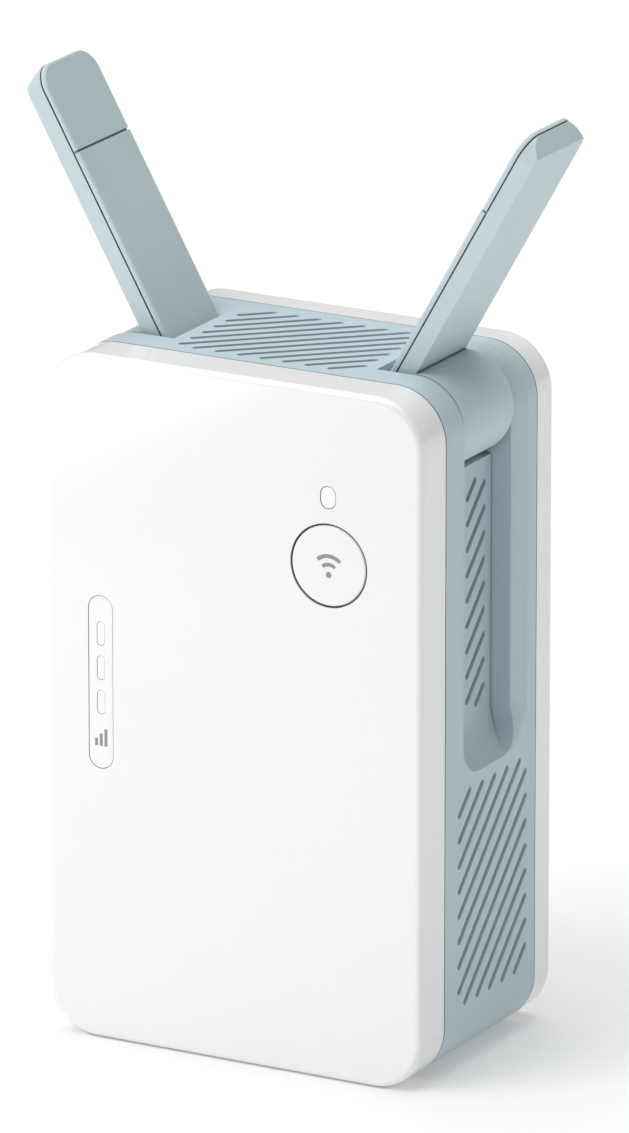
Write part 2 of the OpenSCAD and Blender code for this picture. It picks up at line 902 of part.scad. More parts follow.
module mains_capacitors() {
    color("darkslateblue") for (z = [15.5, 27]) {
        translate([-14.5, supply_front_y, low_z + z]) can(4.6, 15);
    }
}

module output_capacitors() {
    color("darkslateblue") for (z = [15, 25]) {
        translate([15, supply_front_y, low_z + z]) can(3.6, 11);
    }
}

module film_capacitor() {
    color("goldenrod") block([-21, supply_front_y - 11, low_z + 37],
        [-15, supply_front_y, low_z + 50]);
}

module line_choke() {
    color("olive") translate([18, supply_front_y - 6.6, low_z + 43])
        rotate([0, 90, 0]) rotate_extrude() translate([4.4, 0]) circle(r = 2.2, $fn = small_fn);
}

module fuse() {
    color("brown") translate([-5, supply_front_y - 2.6, low_z + 58])
        rotate([0, 90, 0]) cylinder(r = 2.6, h = 10, $fn = small_fn);
}

// pair of wires carrying low voltage from the power board to the main board
module supply_lead() {
    color("red") for (x = [22, 24.6]) {
        translate([x, 0, low_z + 32]) rod_y(0.8, board_rear_y, supply_front_y, small_fn);
    }
}

// ---------- mains plug ----------

module plug_base() {
    color("white") difference() {
        union() {
            translate([0, 0, -plug_h / 2])
                along_y(-wall, plug_d) rounded_outline(plug_w, plug_h, plug_corner_r);
            translate([0, 0, -plug_h / 2 - plug_flange])
                along_y(-wall - plug_flange_t, -wall)
                    rounded_outline(plug_w + 2 * plug_flange, plug_h + 2 * plug_flange,
                        plug_corner_r + plug_flange);
        }
        for (side = [-1, 1]) {
            translate([side * pin_gap / 2, 0, 0]) {
                rod_y(pin_core_r + 0.02, -wall - plug_flange_t - 1, plug_d + 1, small_fn);
            }
        }
    }
}

module plug_pins() {
    color("silver") for (side = [-1, 1]) {
        translate([side * pin_gap / 2, 0, 0]) {
            rod_y(pin_core_r, pin_in_y, plug_d + sleeve_len);
            rod_y(pin_r, plug_d + sleeve_len, plug_d + pin_len - pin_tip);
            translate([0, plug_d + pin_len - pin_tip, 0])
                rotate([-90, 0, 0])
                    cylinder(r1 = pin_r, r2 = pin_r - 0.7, h = pin_tip);
        }
    }
}

module pin_sleeves() {
    color("black") for (side = [-1, 1]) {
        translate([side * pin_gap / 2, 0, 0]) difference() {
            rod_y(pin_r, plug_d, plug_d + sleeve_len);
            rod_y(pin_core_r + 0.02, plug_d - 1, plug_d + sleeve_len + 1, small_fn);
        }
    }
}

// short wires from the inner ends of the pins down to the power board
module pin_leads() {
    lead_y = pin_in_y - 1.6;
    color("saddlebrown") for (side = [-1, 1]) {
        translate([side * pin_gap / 2, 0, 0]) {
            translate([0, lead_y, supply_high - 3])
                cylinder(r = 1, h = -supply_high + 3, $fn = small_fn);
            translate([0, lead_y, 0]) sphere(r = 1.4, $fn = small_fn);
            translate([0, lead_y, supply_high - 3]) sphere(r = 1.4, $fn = small_fn);
            rod_y(1.2, lead_y, pin_in_y, small_fn);
            translate([0, 0, supply_high - 3]) rod_y(1.2, lead_y, supply_front_y, small_fn);
        }
    }
}

// ---------- antennas, drawn upright about the hinge axis ----------

// places the right-hand antenna on its hinge in the rest position
module on_hinge() {
    translate([drum_x, bay_y, drum_z]) rotate([0, blade_lean, 0]) children();
}

// blade seen flat on, between two distances from the hinge axis
module blade_outline(from, inset = 0, tip = true) {
    half = blade_half - inset;
    end = blade_len - inset;
    radius = tip_r - inset;
    translate([-half, from]) square([2 * half, end - radius - from]);
    translate([-half + radius, from]) square([2 * (half - radius), end - from]);
    for (side = [-1, 1]) {
        translate([side * (half - radius), end - radius]) circle(r = radius);
    }
}

module antenna_shell() {
    difference() {
        union() {
            rod_y(drum_r, -blade_half, blade_half);
            along_x(seam_x, outer_x) blade_outline(0);
        }
        // sloped end of the tip
        translate([0, -blade_half - 1, 0])
            rotate([-90, 0, 0])
                linear_extrude(height = blade_w + 2)
                    polygon([[seam_x, -blade_len],
                        [outer_x + 1, -blade_len + 3.2],
                        [outer_x + 1, -blade_len - 1],
                        [seam_x, -blade_len - 1]]);
        // seat of the inner cover where it runs onto the drum
        block([-drum_r - 1, -blade_half - 1, cover_foot],
            [seam_x, blade_half + 1, drum_r + 1]);
        // hollow for the antenna board
        along_x(seam_x - 1, outer_x - 1.2)
            translate([-blade_half + 1.7, drum_r + 1]) square([blade_w - 3.4, blade_len - drum_r - 6]);
        // hollow hub, open at the front
        difference() {
            rod_y(drum_r - 1.7, -blade_half - 1, blade_half - 2.5);
            rod_y(hinge_pin_r + 1.6, -blade_half - 2, blade_half);
        }
        rod_y(hinge_pin_r + run_fit, -blade_half - 1, blade_half + 1);
    }
}

module antenna_cover() {
    along_x(cover_x - cover_proud, seam_x - groove)
        translate([-blade_half, cover_foot]) square([blade_w, cover_split - cover_foot]);
    along_x(seam_x - groove, seam_x)
        translate([-blade_half + 0.5, cover_foot])
            square([blade_w - 1, cover_split - cover_foot]);
}

module antenna_tip() {
    along_x(cover_x, seam_x - groove) blade_outline(cover_split + 0.4);
    along_x(seam_x - groove, seam_x) blade_outline(cover_split + 0.4, 0.5);
}

module antenna_board() {
    block([seam_x + 0.2, -blade_half + 2.6, drum_r + 2],
        [seam_x + 1, blade_half - 2.6, blade_len - 6.5]);
}

module hinge_pin() {
    difference() {
        rod_y(hinge_pin_r, -recess_w / 2 - skin - 0.2, recess_w / 2 + skin + 0.2);
        rod_y(0.9, -recess_w / 2 - skin - 1, recess_w / 2 + skin + 1, small_fn);
    }
}

module wave_washer() {
    difference() {
        rod_y(5, recess_w / 2 - washer_t, recess_w / 2);
        rod_y(hinge_pin_r + 0.1, 0, recess_w / 2 + 1, small_fn);
    }
}

module right_antenna_shell() {
    color("lightsteelblue") on_hinge() antenna_shell();
}

module right_antenna_cover() {
    color("lightsteelblue") on_hinge() antenna_cover();
}

module right_antenna_tip() {
    color("lightsteelblue") on_hinge() antenna_tip();
}

module right_antenna_board() {
    color("darkgreen") on_hinge() antenna_board();
}

module right_hinge_pin() {
    color("silver") translate([drum_x, bay_y, drum_z]) hinge_pin();
}

module right_washer() {
    color("gray") translate([drum_x, bay_y, drum_z]) wave_washer();
}

module left_antenna_shell() {
    mirror([1, 0, 0]) right_antenna_shell();
}

module left_antenna_cover() {
    mirror([1, 0, 0]) right_antenna_cover();
}

module left_antenna_tip() {
    mirror([1, 0, 0]) right_antenna_tip();
}

module left_antenna_board() {
    mirror([1, 0, 0]) right_antenna_board();
}

module left_hinge_pin() {
    mirror([1, 0, 0]) right_hinge_pin();
}

module left_washer() {
    mirror([1, 0, 0]) right_washer();
}

front_shell();
mid_frame();
rear_shell();
signal_window();
signal_light_guide();
signal_bars();
status_light_guide();
light_emitters();
pairing_button();
button_glyph();
button_guide();
pairing_switch();
pairing_plunger();
main_board();
board_screws();
processor();
memory_chip();
thermal_pad();
heat_sink();
radio_shields();
aerial_sockets();
aerial_leads();
ethernet_shell();
ethernet_insert();
ethernet_contacts();
reset_switch();
reset_plunger();
power_board();
power_board_screws();
transformer_core();
transformer_winding();
mains_capacitors();
output_capacitors();
film_capacitor();
line_choke();
fuse();
supply_lead();
plug_base();
plug_pins();
pin_sleeves();
pin_leads();
housing_screws();
rating_label();
right_hinge_pin();
right_washer();
right_antenna_shell();
right_antenna_cover();
right_antenna_tip();
right_antenna_board();
left_hinge_pin();
left_washer();
left_antenna_shell();
left_antenna_cover();
left_antenna_tip();
left_antenna_board();
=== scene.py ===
"""Looks of a plug-in wireless range extender with two folding antennas.

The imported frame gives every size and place. The classes below finish its mouldings, boards and
metal parts, and light them on a plain pale floor.
"""
import json
import logging
import math
from dataclasses import dataclass, field
from enum import Enum
from typing import Callable, Dict, List, Sequence, Tuple

import bmesh
import bpy
from mathutils import Matrix, Quaternion, Vector

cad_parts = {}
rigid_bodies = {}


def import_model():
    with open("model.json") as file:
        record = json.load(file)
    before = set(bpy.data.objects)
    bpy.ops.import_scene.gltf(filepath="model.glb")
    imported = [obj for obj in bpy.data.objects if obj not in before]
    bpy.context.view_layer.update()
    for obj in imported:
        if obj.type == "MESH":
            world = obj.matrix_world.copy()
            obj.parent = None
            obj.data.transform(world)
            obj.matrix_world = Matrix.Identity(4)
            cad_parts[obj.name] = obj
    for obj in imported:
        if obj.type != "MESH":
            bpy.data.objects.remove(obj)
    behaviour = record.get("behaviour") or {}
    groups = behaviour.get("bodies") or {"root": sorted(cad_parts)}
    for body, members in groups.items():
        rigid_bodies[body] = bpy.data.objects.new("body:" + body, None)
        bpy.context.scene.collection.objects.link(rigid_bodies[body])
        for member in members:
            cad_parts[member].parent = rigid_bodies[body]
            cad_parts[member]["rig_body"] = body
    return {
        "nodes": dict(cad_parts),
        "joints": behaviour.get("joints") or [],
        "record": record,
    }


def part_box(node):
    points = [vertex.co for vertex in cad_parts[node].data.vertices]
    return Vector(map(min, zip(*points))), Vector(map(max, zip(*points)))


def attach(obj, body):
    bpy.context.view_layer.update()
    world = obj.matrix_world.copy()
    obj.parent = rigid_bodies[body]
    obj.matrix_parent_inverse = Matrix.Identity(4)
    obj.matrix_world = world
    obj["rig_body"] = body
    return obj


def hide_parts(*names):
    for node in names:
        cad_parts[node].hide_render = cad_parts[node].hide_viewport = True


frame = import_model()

LOG = logging.getLogger("extender")
MM = 0.001
UM = 1e-6
WELD = 2 * UM
FLAT_DEG = 0.4
SHARP_DEG = 25.0
BREAK_DEG = 32
SMOOTH_DEG = 38
BRICKS_PER_M = 1000.0
PointTest = Callable[[Vector], bool]
Socket = bpy.types.NodeSocket
Piece = bpy.types.Object
Tree = bpy.types.NodeTree
Node = bpy.types.Node
Material = bpy.types.Material
Colour = Tuple[int, int, int]
Pair = Tuple[float, float]
Triple = Tuple[float, float, float]


class Side(Enum):
    """The two sides of the case, seen from the front."""

    RIGHT = 1
    LEFT = -1

    @property
    def label(self) -> str:
        """Prefix of the side's CAD nodes."""
        return self.name.lower()


class Body(Enum):
    """CAD bodies that new pieces ride on."""

    HOUSING = "housing"


# ---------- mesh work ----------


def deselect_all() -> None:
    """Leave edit mode if needed and clear the selection."""
    if bpy.context.object is not None and bpy.context.object.mode != "OBJECT":
        bpy.ops.object.mode_set(mode="OBJECT")
    for item in list(bpy.context.selected_objects):
        item.select_set(False)


def pick(piece: Piece) -> None:
    """Make one piece the only selected and active object.

    Args:
        piece: Object to pick.
    """
    deselect_all()
    piece.select_set(True)
    bpy.context.view_layer.objects.active = piece


def edit(piece: Piece) -> None:
    """Open a piece in edit mode with edges as the selection mode.

    Args:
        piece: Mesh object to open.
    """
    pick(piece)
    bpy.ops.object.mode_set(mode="EDIT")
    bpy.context.tool_settings.mesh_select_mode = (False, True, False)


def close_edit() -> None:
    """Go back to object mode."""
    bpy.ops.object.mode_set(mode="OBJECT")


def clear_shape(shape: bmesh.types.BMesh) -> None:
    """Deselect every part of an open mesh.

    Args:
        shape: Mesh in edit mode.
    """
    for parts in (shape.verts, shape.edges, shape.faces):
        for item in parts:
            item.select = False


def select_edges(piece: Piece, test: PointTest, sharp_deg: float = SHARP_DEG) -> int:
    """Select the sharp edges whose ends and middle all pass a test.

    Args:
        piece: Mesh object in edit mode.
        test: Takes a point in metres and says whether it belongs.
        sharp_deg: Least angle between the faces of a chosen edge.

    Returns:
        How many edges are selected.
    """
    shape = bmesh.from_edit_mesh(piece.data)
    clear_shape(shape)
    count = 0
    for edge in shape.edges:
        first, last = (v.co for v in edge.verts)
        if edge.calc_face_angle(0.0) < math.radians(sharp_deg):
            continue
        if test(first) and test(last) and test((first + last) / 2):
            edge.select_set(True)
            count += 1
    bmesh.update_edit_mesh(piece.data)
    return count


def select_faces(piece: Piece, test: Callable[[Vector, Vector], bool]) -> None:
    """Select the faces that pass a test.

    Args:
        piece: Mesh object in edit mode.
        test: Takes a face's centre and normal and says whether it belongs.
    """
    shape = bmesh.from_edit_mesh(piece.data)
    clear_shape(shape)
    for face in [f for f in shape.faces if test(f.calc_center_median(), f.normal)]:
        face.select_set(True)
    bmesh.update_edit_mesh(piece.data)


def solid_boxes(node: str) -> List[Tuple[Vector, Vector]]:
    """Find the box of each separate solid of a CAD node.

    Args:
        node: CAD node.

    Returns:
        Lowest and highest corner of each solid, in order.
    """
    shape = bmesh.new()
    shape.from_mesh(frame["nodes"][node].data)
    bmesh.ops.remove_doubles(shape, verts=shape.verts, dist=WELD)
    left = set(shape.verts)
    boxes = []
    while left:
        group = [left.pop()]
        for vertex in group:
            for edge in vertex.link_edges:
                other = edge.other_vert(vertex)
                if other in left:
                    left.discard(other)
                    group.append(other)
        spans = [(min(v.co[k] for v in group), max(v.co[k] for v in group)) for k in range(3)]
        boxes.append((Vector([a for a, _ in spans]), Vector([b for _, b in spans])))
    shape.free()
    return sorted(boxes, key=lambda pair: tuple(pair[0]))


def round_edges(piece: Piece, test: PointTest, radius: float, steps: int) -> None:
    """Round chosen edges of a piece.

    Args:
        piece: Mesh object in object mode.
        test: Takes a point in metres and says whether its edge is rounded.
        radius: Rounding in metres.
        steps: Faces across the rounding.
    """
    edit(piece)
    count = select_edges(piece, test)
    if count:
        bpy.ops.mesh.bevel(
            offset=radius, segments=steps, profile=0.5, affect="EDGES", clamp_overlap=True
        )
    close_edit()
    LOG.info("%s: %d edges rounded", piece.name, count)


def apply_modifier(piece: Piece, kind: str, **settings: object) -> None:
    """Add one modifier to a piece and apply it.

    Args:
        piece: Object to change.
        kind: Blender's modifier type.
        **settings: Properties of the modifier.
    """
    pick(piece)
    modifier = piece.modifiers.new(kind.lower(), kind)
    for key, value in settings.items():
        setattr(modifier, key, value)
    bpy.ops.object.modifier_apply(modifier=modifier.name)


def moulded_copy(node: str, name: str) -> Piece:
    """Copy a CAD node into one welded mesh with its flat faces whole.

    Args:
        node: CAD node to copy.
        name: Name of the new piece.

    Returns:
        The new object at the origin.
    """
    mesh = frame["nodes"][node].data.copy()
    mesh.materials.clear()
    piece = bpy.data.objects.new(name, mesh)
    bpy.context.scene.collection.objects.link(piece)
    pick(piece)
    bpy.ops.mesh.customdata_custom_splitnormals_clear()
    edit(piece)
    bpy.ops.mesh.select_all(action="SELECT")
    bpy.ops.mesh.remove_doubles(threshold=WELD)
    bpy.ops.mesh.dissolve_limited(angle_limit=math.radians(FLAT_DEG))
    close_edit()
    return piece


def finish_edges(piece: Piece, radius: float, steps: int = 2) -> None:
    """Break every sharp edge a little and set smooth shading with clean flats.

    Args:
        piece: Object to finish.
        radius: Width of the broken edge in metres.
        steps: Faces across it.
    """
    apply_modifier(
        piece,
        "BEVEL",
        limit_method="ANGLE",
        angle_limit=math.radians(BREAK_DEG),
        width=radius,
        segments=steps,
        use_clamp_overlap=True,
        miter_outer="MITER_ARC",
    )
    pick(piece)
    bpy.ops.object.shade_smooth_by_angle(angle=math.radians(SMOOTH_DEG))
    apply_modifier(piece, "WEIGHTED_NORMAL", mode="FACE_AREA", keep_sharp=True, weight=60)


def soften(node: str, radius_mm: float, steps: int = 2) -> Piece:
    """Replace a CAD node by a copy of itself with moulded edges.

    Args:
        node: CAD node.
        radius_mm: Width of its broken edges.
        steps: Faces across them.

    Returns:
        The new piece, riding on the node's body.
    """
    piece = moulded_copy(node, node + "_moulding")
    finish_edges(piece, radius_mm * MM, steps)
    return hand_over(piece, node)


def hand_over(piece: Piece, node: str) -> Piece:
    """Let a piece stand for a CAD node: it rides on the node's body and the node is hidden.

    Args:
        piece: Finished object.
        node: CAD node that it replaces.

    Returns:
        The same piece.
    """
    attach(piece, frame["nodes"][node]["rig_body"])
    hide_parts(node)
    LOG.info("%s stands for %s: %d faces", piece.name, node, len(piece.data.polygons))
    return piece


def join_pieces(pieces: Sequence[Piece], name: str) -> Piece:
    """Join meshes into one object.

    Args:
        pieces: Objects to join, first one kept.
        name: Name of the result.

    Returns:
        The joined object.
    """
    deselect_all()
    for item in pieces:
        item.select_set(True)
    bpy.context.view_layer.objects.active = pieces[0]
    if len(pieces) > 1:
        bpy.ops.object.join()
    whole = bpy.context.view_layer.objects.active
    whole.name = name
    return whole


def settle(piece: Piece) -> Piece:
    """Put a piece's place into its mesh."""
    pick(piece)
    bpy.ops.object.transform_apply(location=True, rotation=True, scale=True)
    return piece


def add_block(low: Vector, high: Vector, name: str) -> Piece:
    """Add a cube primitive between two corners.

    Args:
        low: Lowest corner in metres.
        high: Highest corner in metres.
        name: Name of the object.

    Returns:
        The new object with its place in its mesh.
    """
    deselect_all()
    bpy.ops.mesh.primitive_cube_add(size=1.0, location=(low + high) / 2)
    block = bpy.context.object
    block.scale = high - low
    block.name = name
    return settle(block)


def add_rod(
    centre: Vector, axis: Vector, radius: float, length: float, name: str, sides: int
) -> Piece:
    """Add a cylinder primitive along an axis.

    Args:
        centre: Middle of the rod in metres.
        axis: Direction of the rod.
        radius: Radius in metres.
        length: Length in metres.
        name: Name of the object.
        sides: Faces round the rod.

    Returns:
        The new object with its place in its mesh.
    """
    deselect_all()
    bpy.ops.mesh.primitive_cylinder_add(
        vertices=sides, radius=radius, depth=length, location=centre
    )
    rod = bpy.context.object
    rod.rotation_mode = "QUATERNION"
    rod.rotation_quaternion = axis.to_track_quat("Z", "Y")
    rod.name = name
    return settle(rod)


# ---------- shader groups and finishes ----------


@dataclass
class Wiring:
    """A node tree with short ways to add and link nodes."""

    tree: Tree

    def add(self, kind: str, **settings: object) -> Node:
        """Add a node.

        Args:
            kind: Blender's node type.
            **settings: Properties of the node.

        Returns:
            The node.
        """
        made = self.tree.nodes.new(kind)
        for key, value in settings.items():
            setattr(made, key, value)
        return made

    def feed(self, target: Socket, value: object) -> None:
        """Link an output to an input, or set the input's own value.

        Args:
            target: Input socket.
            value: Output socket or value.
        """
        if isinstance(value, bpy.types.NodeSocket):
            self.tree.links.new(value, target)
        else:
            target.default_value = value

    def fill(self, node: Node, values: Dict[str, object]) -> None:
        """Feed several inputs of a node by name."""
        for key, value in values.items():
            self.feed(node.inputs[key], value)

    def math(self, operation: str, *values: object, clamp: bool = False) -> Socket:
        """Add a Math node.

        Args:
            operation: Blender's name of the operation.
            *values: Numbers or outputs, in the order of the inputs.
            clamp: Whether the result stays between 0 and 1.

        Returns:
            Its output.
        """
        made = self.add("ShaderNodeMath", operation=operation, use_clamp=clamp)
        for at, value in enumerate(values):
            self.feed(made.inputs[at], value)
        return made.outputs[0]

    def noise(
        self, vector: Socket, scale: object, detail: float = 2.0, rough: float = 0.5
    ) -> Socket:
        """Add a 3D Noise Texture.

        Args:
            vector: Where it is read.
            scale: Its scale.
            detail: Its octaves.
            rough: Weight of the finer octaves.

        Returns:
            Its value output.
        """
        made = self.add("ShaderNodeTexNoise", noise_dimensions="3D")
        self.fill(made, {"Vector": vector, "Scale": scale, "Detail": detail, "Roughness": rough})
        return made.outputs["Fac"]

    def remap(
        self, value: Socket, low: float, high: float, to_low: float = 0.0, to_high: float = 1.0
    ) -> Socket:
        """Add a Map Range node with clamping.

        Args:
            value: Output to map.
            low: Value that becomes to_low.
            high: Value that becomes to_high.
            to_low: Result at low.
            to_high: Result at high.

        Returns:
            Its output.
        """
        made = self.add("ShaderNodeMapRange", clamp=True)
        for at, item in enumerate((value, low, high, to_low, to_high)):
            self.feed(made.inputs[at], item)
        return made.outputs["Result"]

    def mix(self, factor: object, first: object, second: object, blend: str = "MIX") -> Socket:
        """Add a colour Mix node.

        Args:
            factor: Share of the second colour.
            first: First colour.
            second: Second colour.
            blend: Blender's name of the blending.

        Returns:
            Its colour output.
        """
        made = self.add("ShaderNodeMix", data_type="RGBA", blend_type=blend, clamp_factor=True)
        for at, value in ((0, factor), (6, first), (7, second)):
            self.feed(made.inputs[at], value)
        return made.outputs[2]

    def product(self, *values: object) -> Socket:
        """Multiply three values and keep the result between 0 and 1."""
        first, second, third = values
        return self.math("MULTIPLY", self.math("MULTIPLY", first, second), third, clamp=True)

    def around(self, value: Socket, spread: object, middle: object) -> Socket:
        """Spread a value of 0 to 1 around a middle."""
        off = self.math("SUBTRACT", value, 0.5)
        return self.math("MULTIPLY_ADD", off, spread, middle, clamp=True)

    def relief(self, shader: Node, height: Socket, depth: float) -> None:
        """Give a shader a bump.

        Args:
            shader: The material's shader.
            height: Height of 0 to 1 over the surface.
            depth: Height of the bump in metres.
        """
        made = self.add("ShaderNodeBump")
        self.fill(made, {"Distance": depth, "Height": height})
        self.feed(shader.inputs["Normal"], made.outputs["Normal"])


def new_material(name: str) -> Tuple[Material, Wiring, Node]:
    """Start a material.

    Args:
        name: Its name.

    Returns:
        The material, its wiring and its shader.
    """
    made = bpy.data.materials.new(name)
    made.use_nodes = True
    return made, Wiring(made.node_tree), made.node_tree.nodes["Principled BSDF"]


class Effects:
    """Shader node groups shared by the finishes, each built once."""

    def __init__(self) -> None:
        """Build the groups."""
        self.grain = self._grain()
        self.edges = self._edges()
        self.brushing = self._brushing()
        self.smudge = self._smudge()
        self.crevice = self._crevice()

    @staticmethod
    def _open(
        name: str, inputs: Dict[str, str], outputs: Dict[str, str]
    ) -> Tuple[Tree, Wiring, Sequence[Socket], Node]:
        """Start a group with named sockets.

        Args:
            name: Name of the group.
            inputs: Socket kinds by input name.
            outputs: Socket kinds by output name.

        Returns:
            The tree, its wiring, what comes in, and its output node.
        """
        tree = bpy.data.node_groups.new(name, "ShaderNodeTree")
        for way, sockets in (("INPUT", inputs), ("OUTPUT", outputs)):
            for label, kind in sockets.items():
                tree.interface.new_socket(name=label, in_out=way, socket_type="NodeSocket" + kind)
        wire = Wiring(tree)
        return tree, wire, wire.add("NodeGroupInput").outputs, wire.add("NodeGroupOutput")

    def _grain(self) -> Tree:
        """Moulded skin: cloudy colour, uneven roughness and a fine grain height.

        Returns:
            The group.
        """
        tree, wire, give, out = self._open(
            "moulded_skin",
            {"Vector": "Vector", "Base": "Color", "Shade": "Color", "Grain Scale": "Float",
             "Cloud Scale": "Float", "Cloud": "Float", "Roughness": "Float", "Spread": "Float"},
            {"Colour": "Color", "Roughness": "Float", "Height": "Float"},
        )
        cloud = wire.remap(wire.noise(give["Vector"], give["Cloud Scale"], 4.0, 0.55), 0.34, 0.66)
        speck = wire.remap(wire.noise(give["Vector"], give["Grain Scale"], 1.0), 0.3, 0.7)
        parts = wire.math("MULTIPLY", cloud, 0.75), wire.math("MULTIPLY", speck, 0.25)
        amount = wire.math("MULTIPLY", wire.math("ADD", *parts), give["Cloud"])
        wire.feed(out.inputs["Colour"], wire.mix(amount, give["Base"], give["Shade"]))
        drift = wire.noise(give["Vector"], wire.math("MULTIPLY", give["Cloud Scale"], 2.3), 3.0)
        wire.feed(out.inputs["Roughness"], wire.around(drift, give["Spread"], give["Roughness"]))
        coarse = wire.noise(give["Vector"], wire.math("MULTIPLY", give["Grain Scale"], 0.41), 2.0)
        fine = wire.noise(give["Vector"], give["Grain Scale"], 3.0, 0.6)
        wire.feed(out.inputs["Height"], wire.math("MULTIPLY_ADD", coarse, 0.6, fine))
        return tree

    def _edges(self) -> Tree:
        """Mask of edges, lightened partly as rubbing wear and partly as painted highlight: where a
        rounded normal leaves the true one, broken by noise.

        Returns:
            The group.
        """
        tree, wire, give, out = self._open(
            "edge_wear",
            {"Vector": "Vector", "Normal Away": "Float", "Break Scale": "Float", "Amount": "Float"},
            {"Edge": "Float"},
        )
        noise = wire.noise(give["Vector"], give["Break Scale"], 4.0, 0.6)
        broken = wire.remap(noise, 0.38, 0.62, 0.25, 1.0)
        edge = wire.remap(give["Normal Away"], 0.02, 0.25)
        wire.feed(out.inputs["Edge"], wire.product(edge, broken, give["Amount"]))
        return tree

    def _brushing(self) -> Tree:
        """Fine parallel lines along the stretched axis of the given vector.

        Returns:
            The group.
        """
        tree, wire, give, out = self._open(
            "tool_lines",
            {"Vector": "Vector", "Line Scale": "Float", "Base": "Color", "Shade": "Color",
             "Roughness": "Float", "Spread": "Float"},
            {"Colour": "Color", "Roughness": "Float", "Height": "Float"},
        )
        lines = wire.noise(give["Vector"], give["Line Scale"], 3.0, 0.65)
        even = wire.remap(lines, 0.3, 0.7)
        wire.feed(out.inputs["Colour"], wire.mix(even, give["Base"], give["Shade"]))
        wire.feed(out.inputs["Roughness"], wire.around(even, give["Spread"], give["Roughness"]))
        wire.feed(out.inputs["Height"], lines)
        return tree

    def _smudge(self) -> Tree:
        """Faint handling marks on gloss, as a mask.

        Returns:
            The group.
        """
        tree, wire, give, out = self._open(
            "handling_marks",
            {"Vector": "Vector", "Mark Scale": "Float", "Amount": "Float"},
            {"Marks": "Float"},
        )
        broad = wire.remap(wire.noise(give["Vector"], give["Mark Scale"], 3.0, 0.6), 0.5, 0.72)
        finer = wire.math("MULTIPLY", give["Mark Scale"], 7.0)
        streak = wire.remap(wire.noise(give["Vector"], finer, 2.0), 0.35, 0.65)
        wire.feed(out.inputs["Marks"], wire.product(broad, streak, give["Amount"]))
        return tree

    def _crevice(self) -> Tree:
        """Mask of thin gaps and grooves for painted shade, where little light gets in.

        Returns:
            The group.
        """
        tree, wire, give, out = self._open(
            "gap_shade",
            {"Vector": "Vector", "Open": "Float", "Amount": "Float"},
            {"Shut": "Float"},
        )
        # Closed-in places get painted shade, broken up a little by noise.
        painted_shade = wire.remap(give["Open"], 0.9, 0.38)
        uneven = wire.remap(wire.noise(give["Vector"], 1 / (2.2 * MM), 3.0), 0.3, 0.7, 0.85, 1.0)
        wire.feed(out.inputs["Shut"], wire.product(painted_shade, uneven, give["Amount"]))
        return tree

    def use(self, wire: Wiring, tree: Tree, **values: object) -> Node:
        """Place a group in a material and set its inputs.

        Args:
            wire: The material's wiring.
            tree: Group to place.
            **values: Inputs by name, with underscores for spaces.

        Returns:
            The group node.
        """
        placed = wire.add("ShaderNodeGroup", node_tree=tree)
        wire.fill(placed, {key.replace("_", " "): value for key, value in values.items()})
        return placed


def tint(red: int, green: int, blue: int) -> Tuple[float, float, float, float]:
    """Turn an sRGB colour into the linear colour that a shader takes.

    Args:
        red: Red of 0 to 255.
        green: Green of 0 to 255.
        blue: Blue of 0 to 255.

    Returns:
        Linear colour with an alpha of 1.
    """
    def one(value: int) -> float:
        """Linear value of one channel."""
        part = value / 255
        return part / 12.92 if part <= 0.04045 else ((part + 0.055) / 1.055) ** 2.4
    return one(red), one(green), one(blue), 1.0


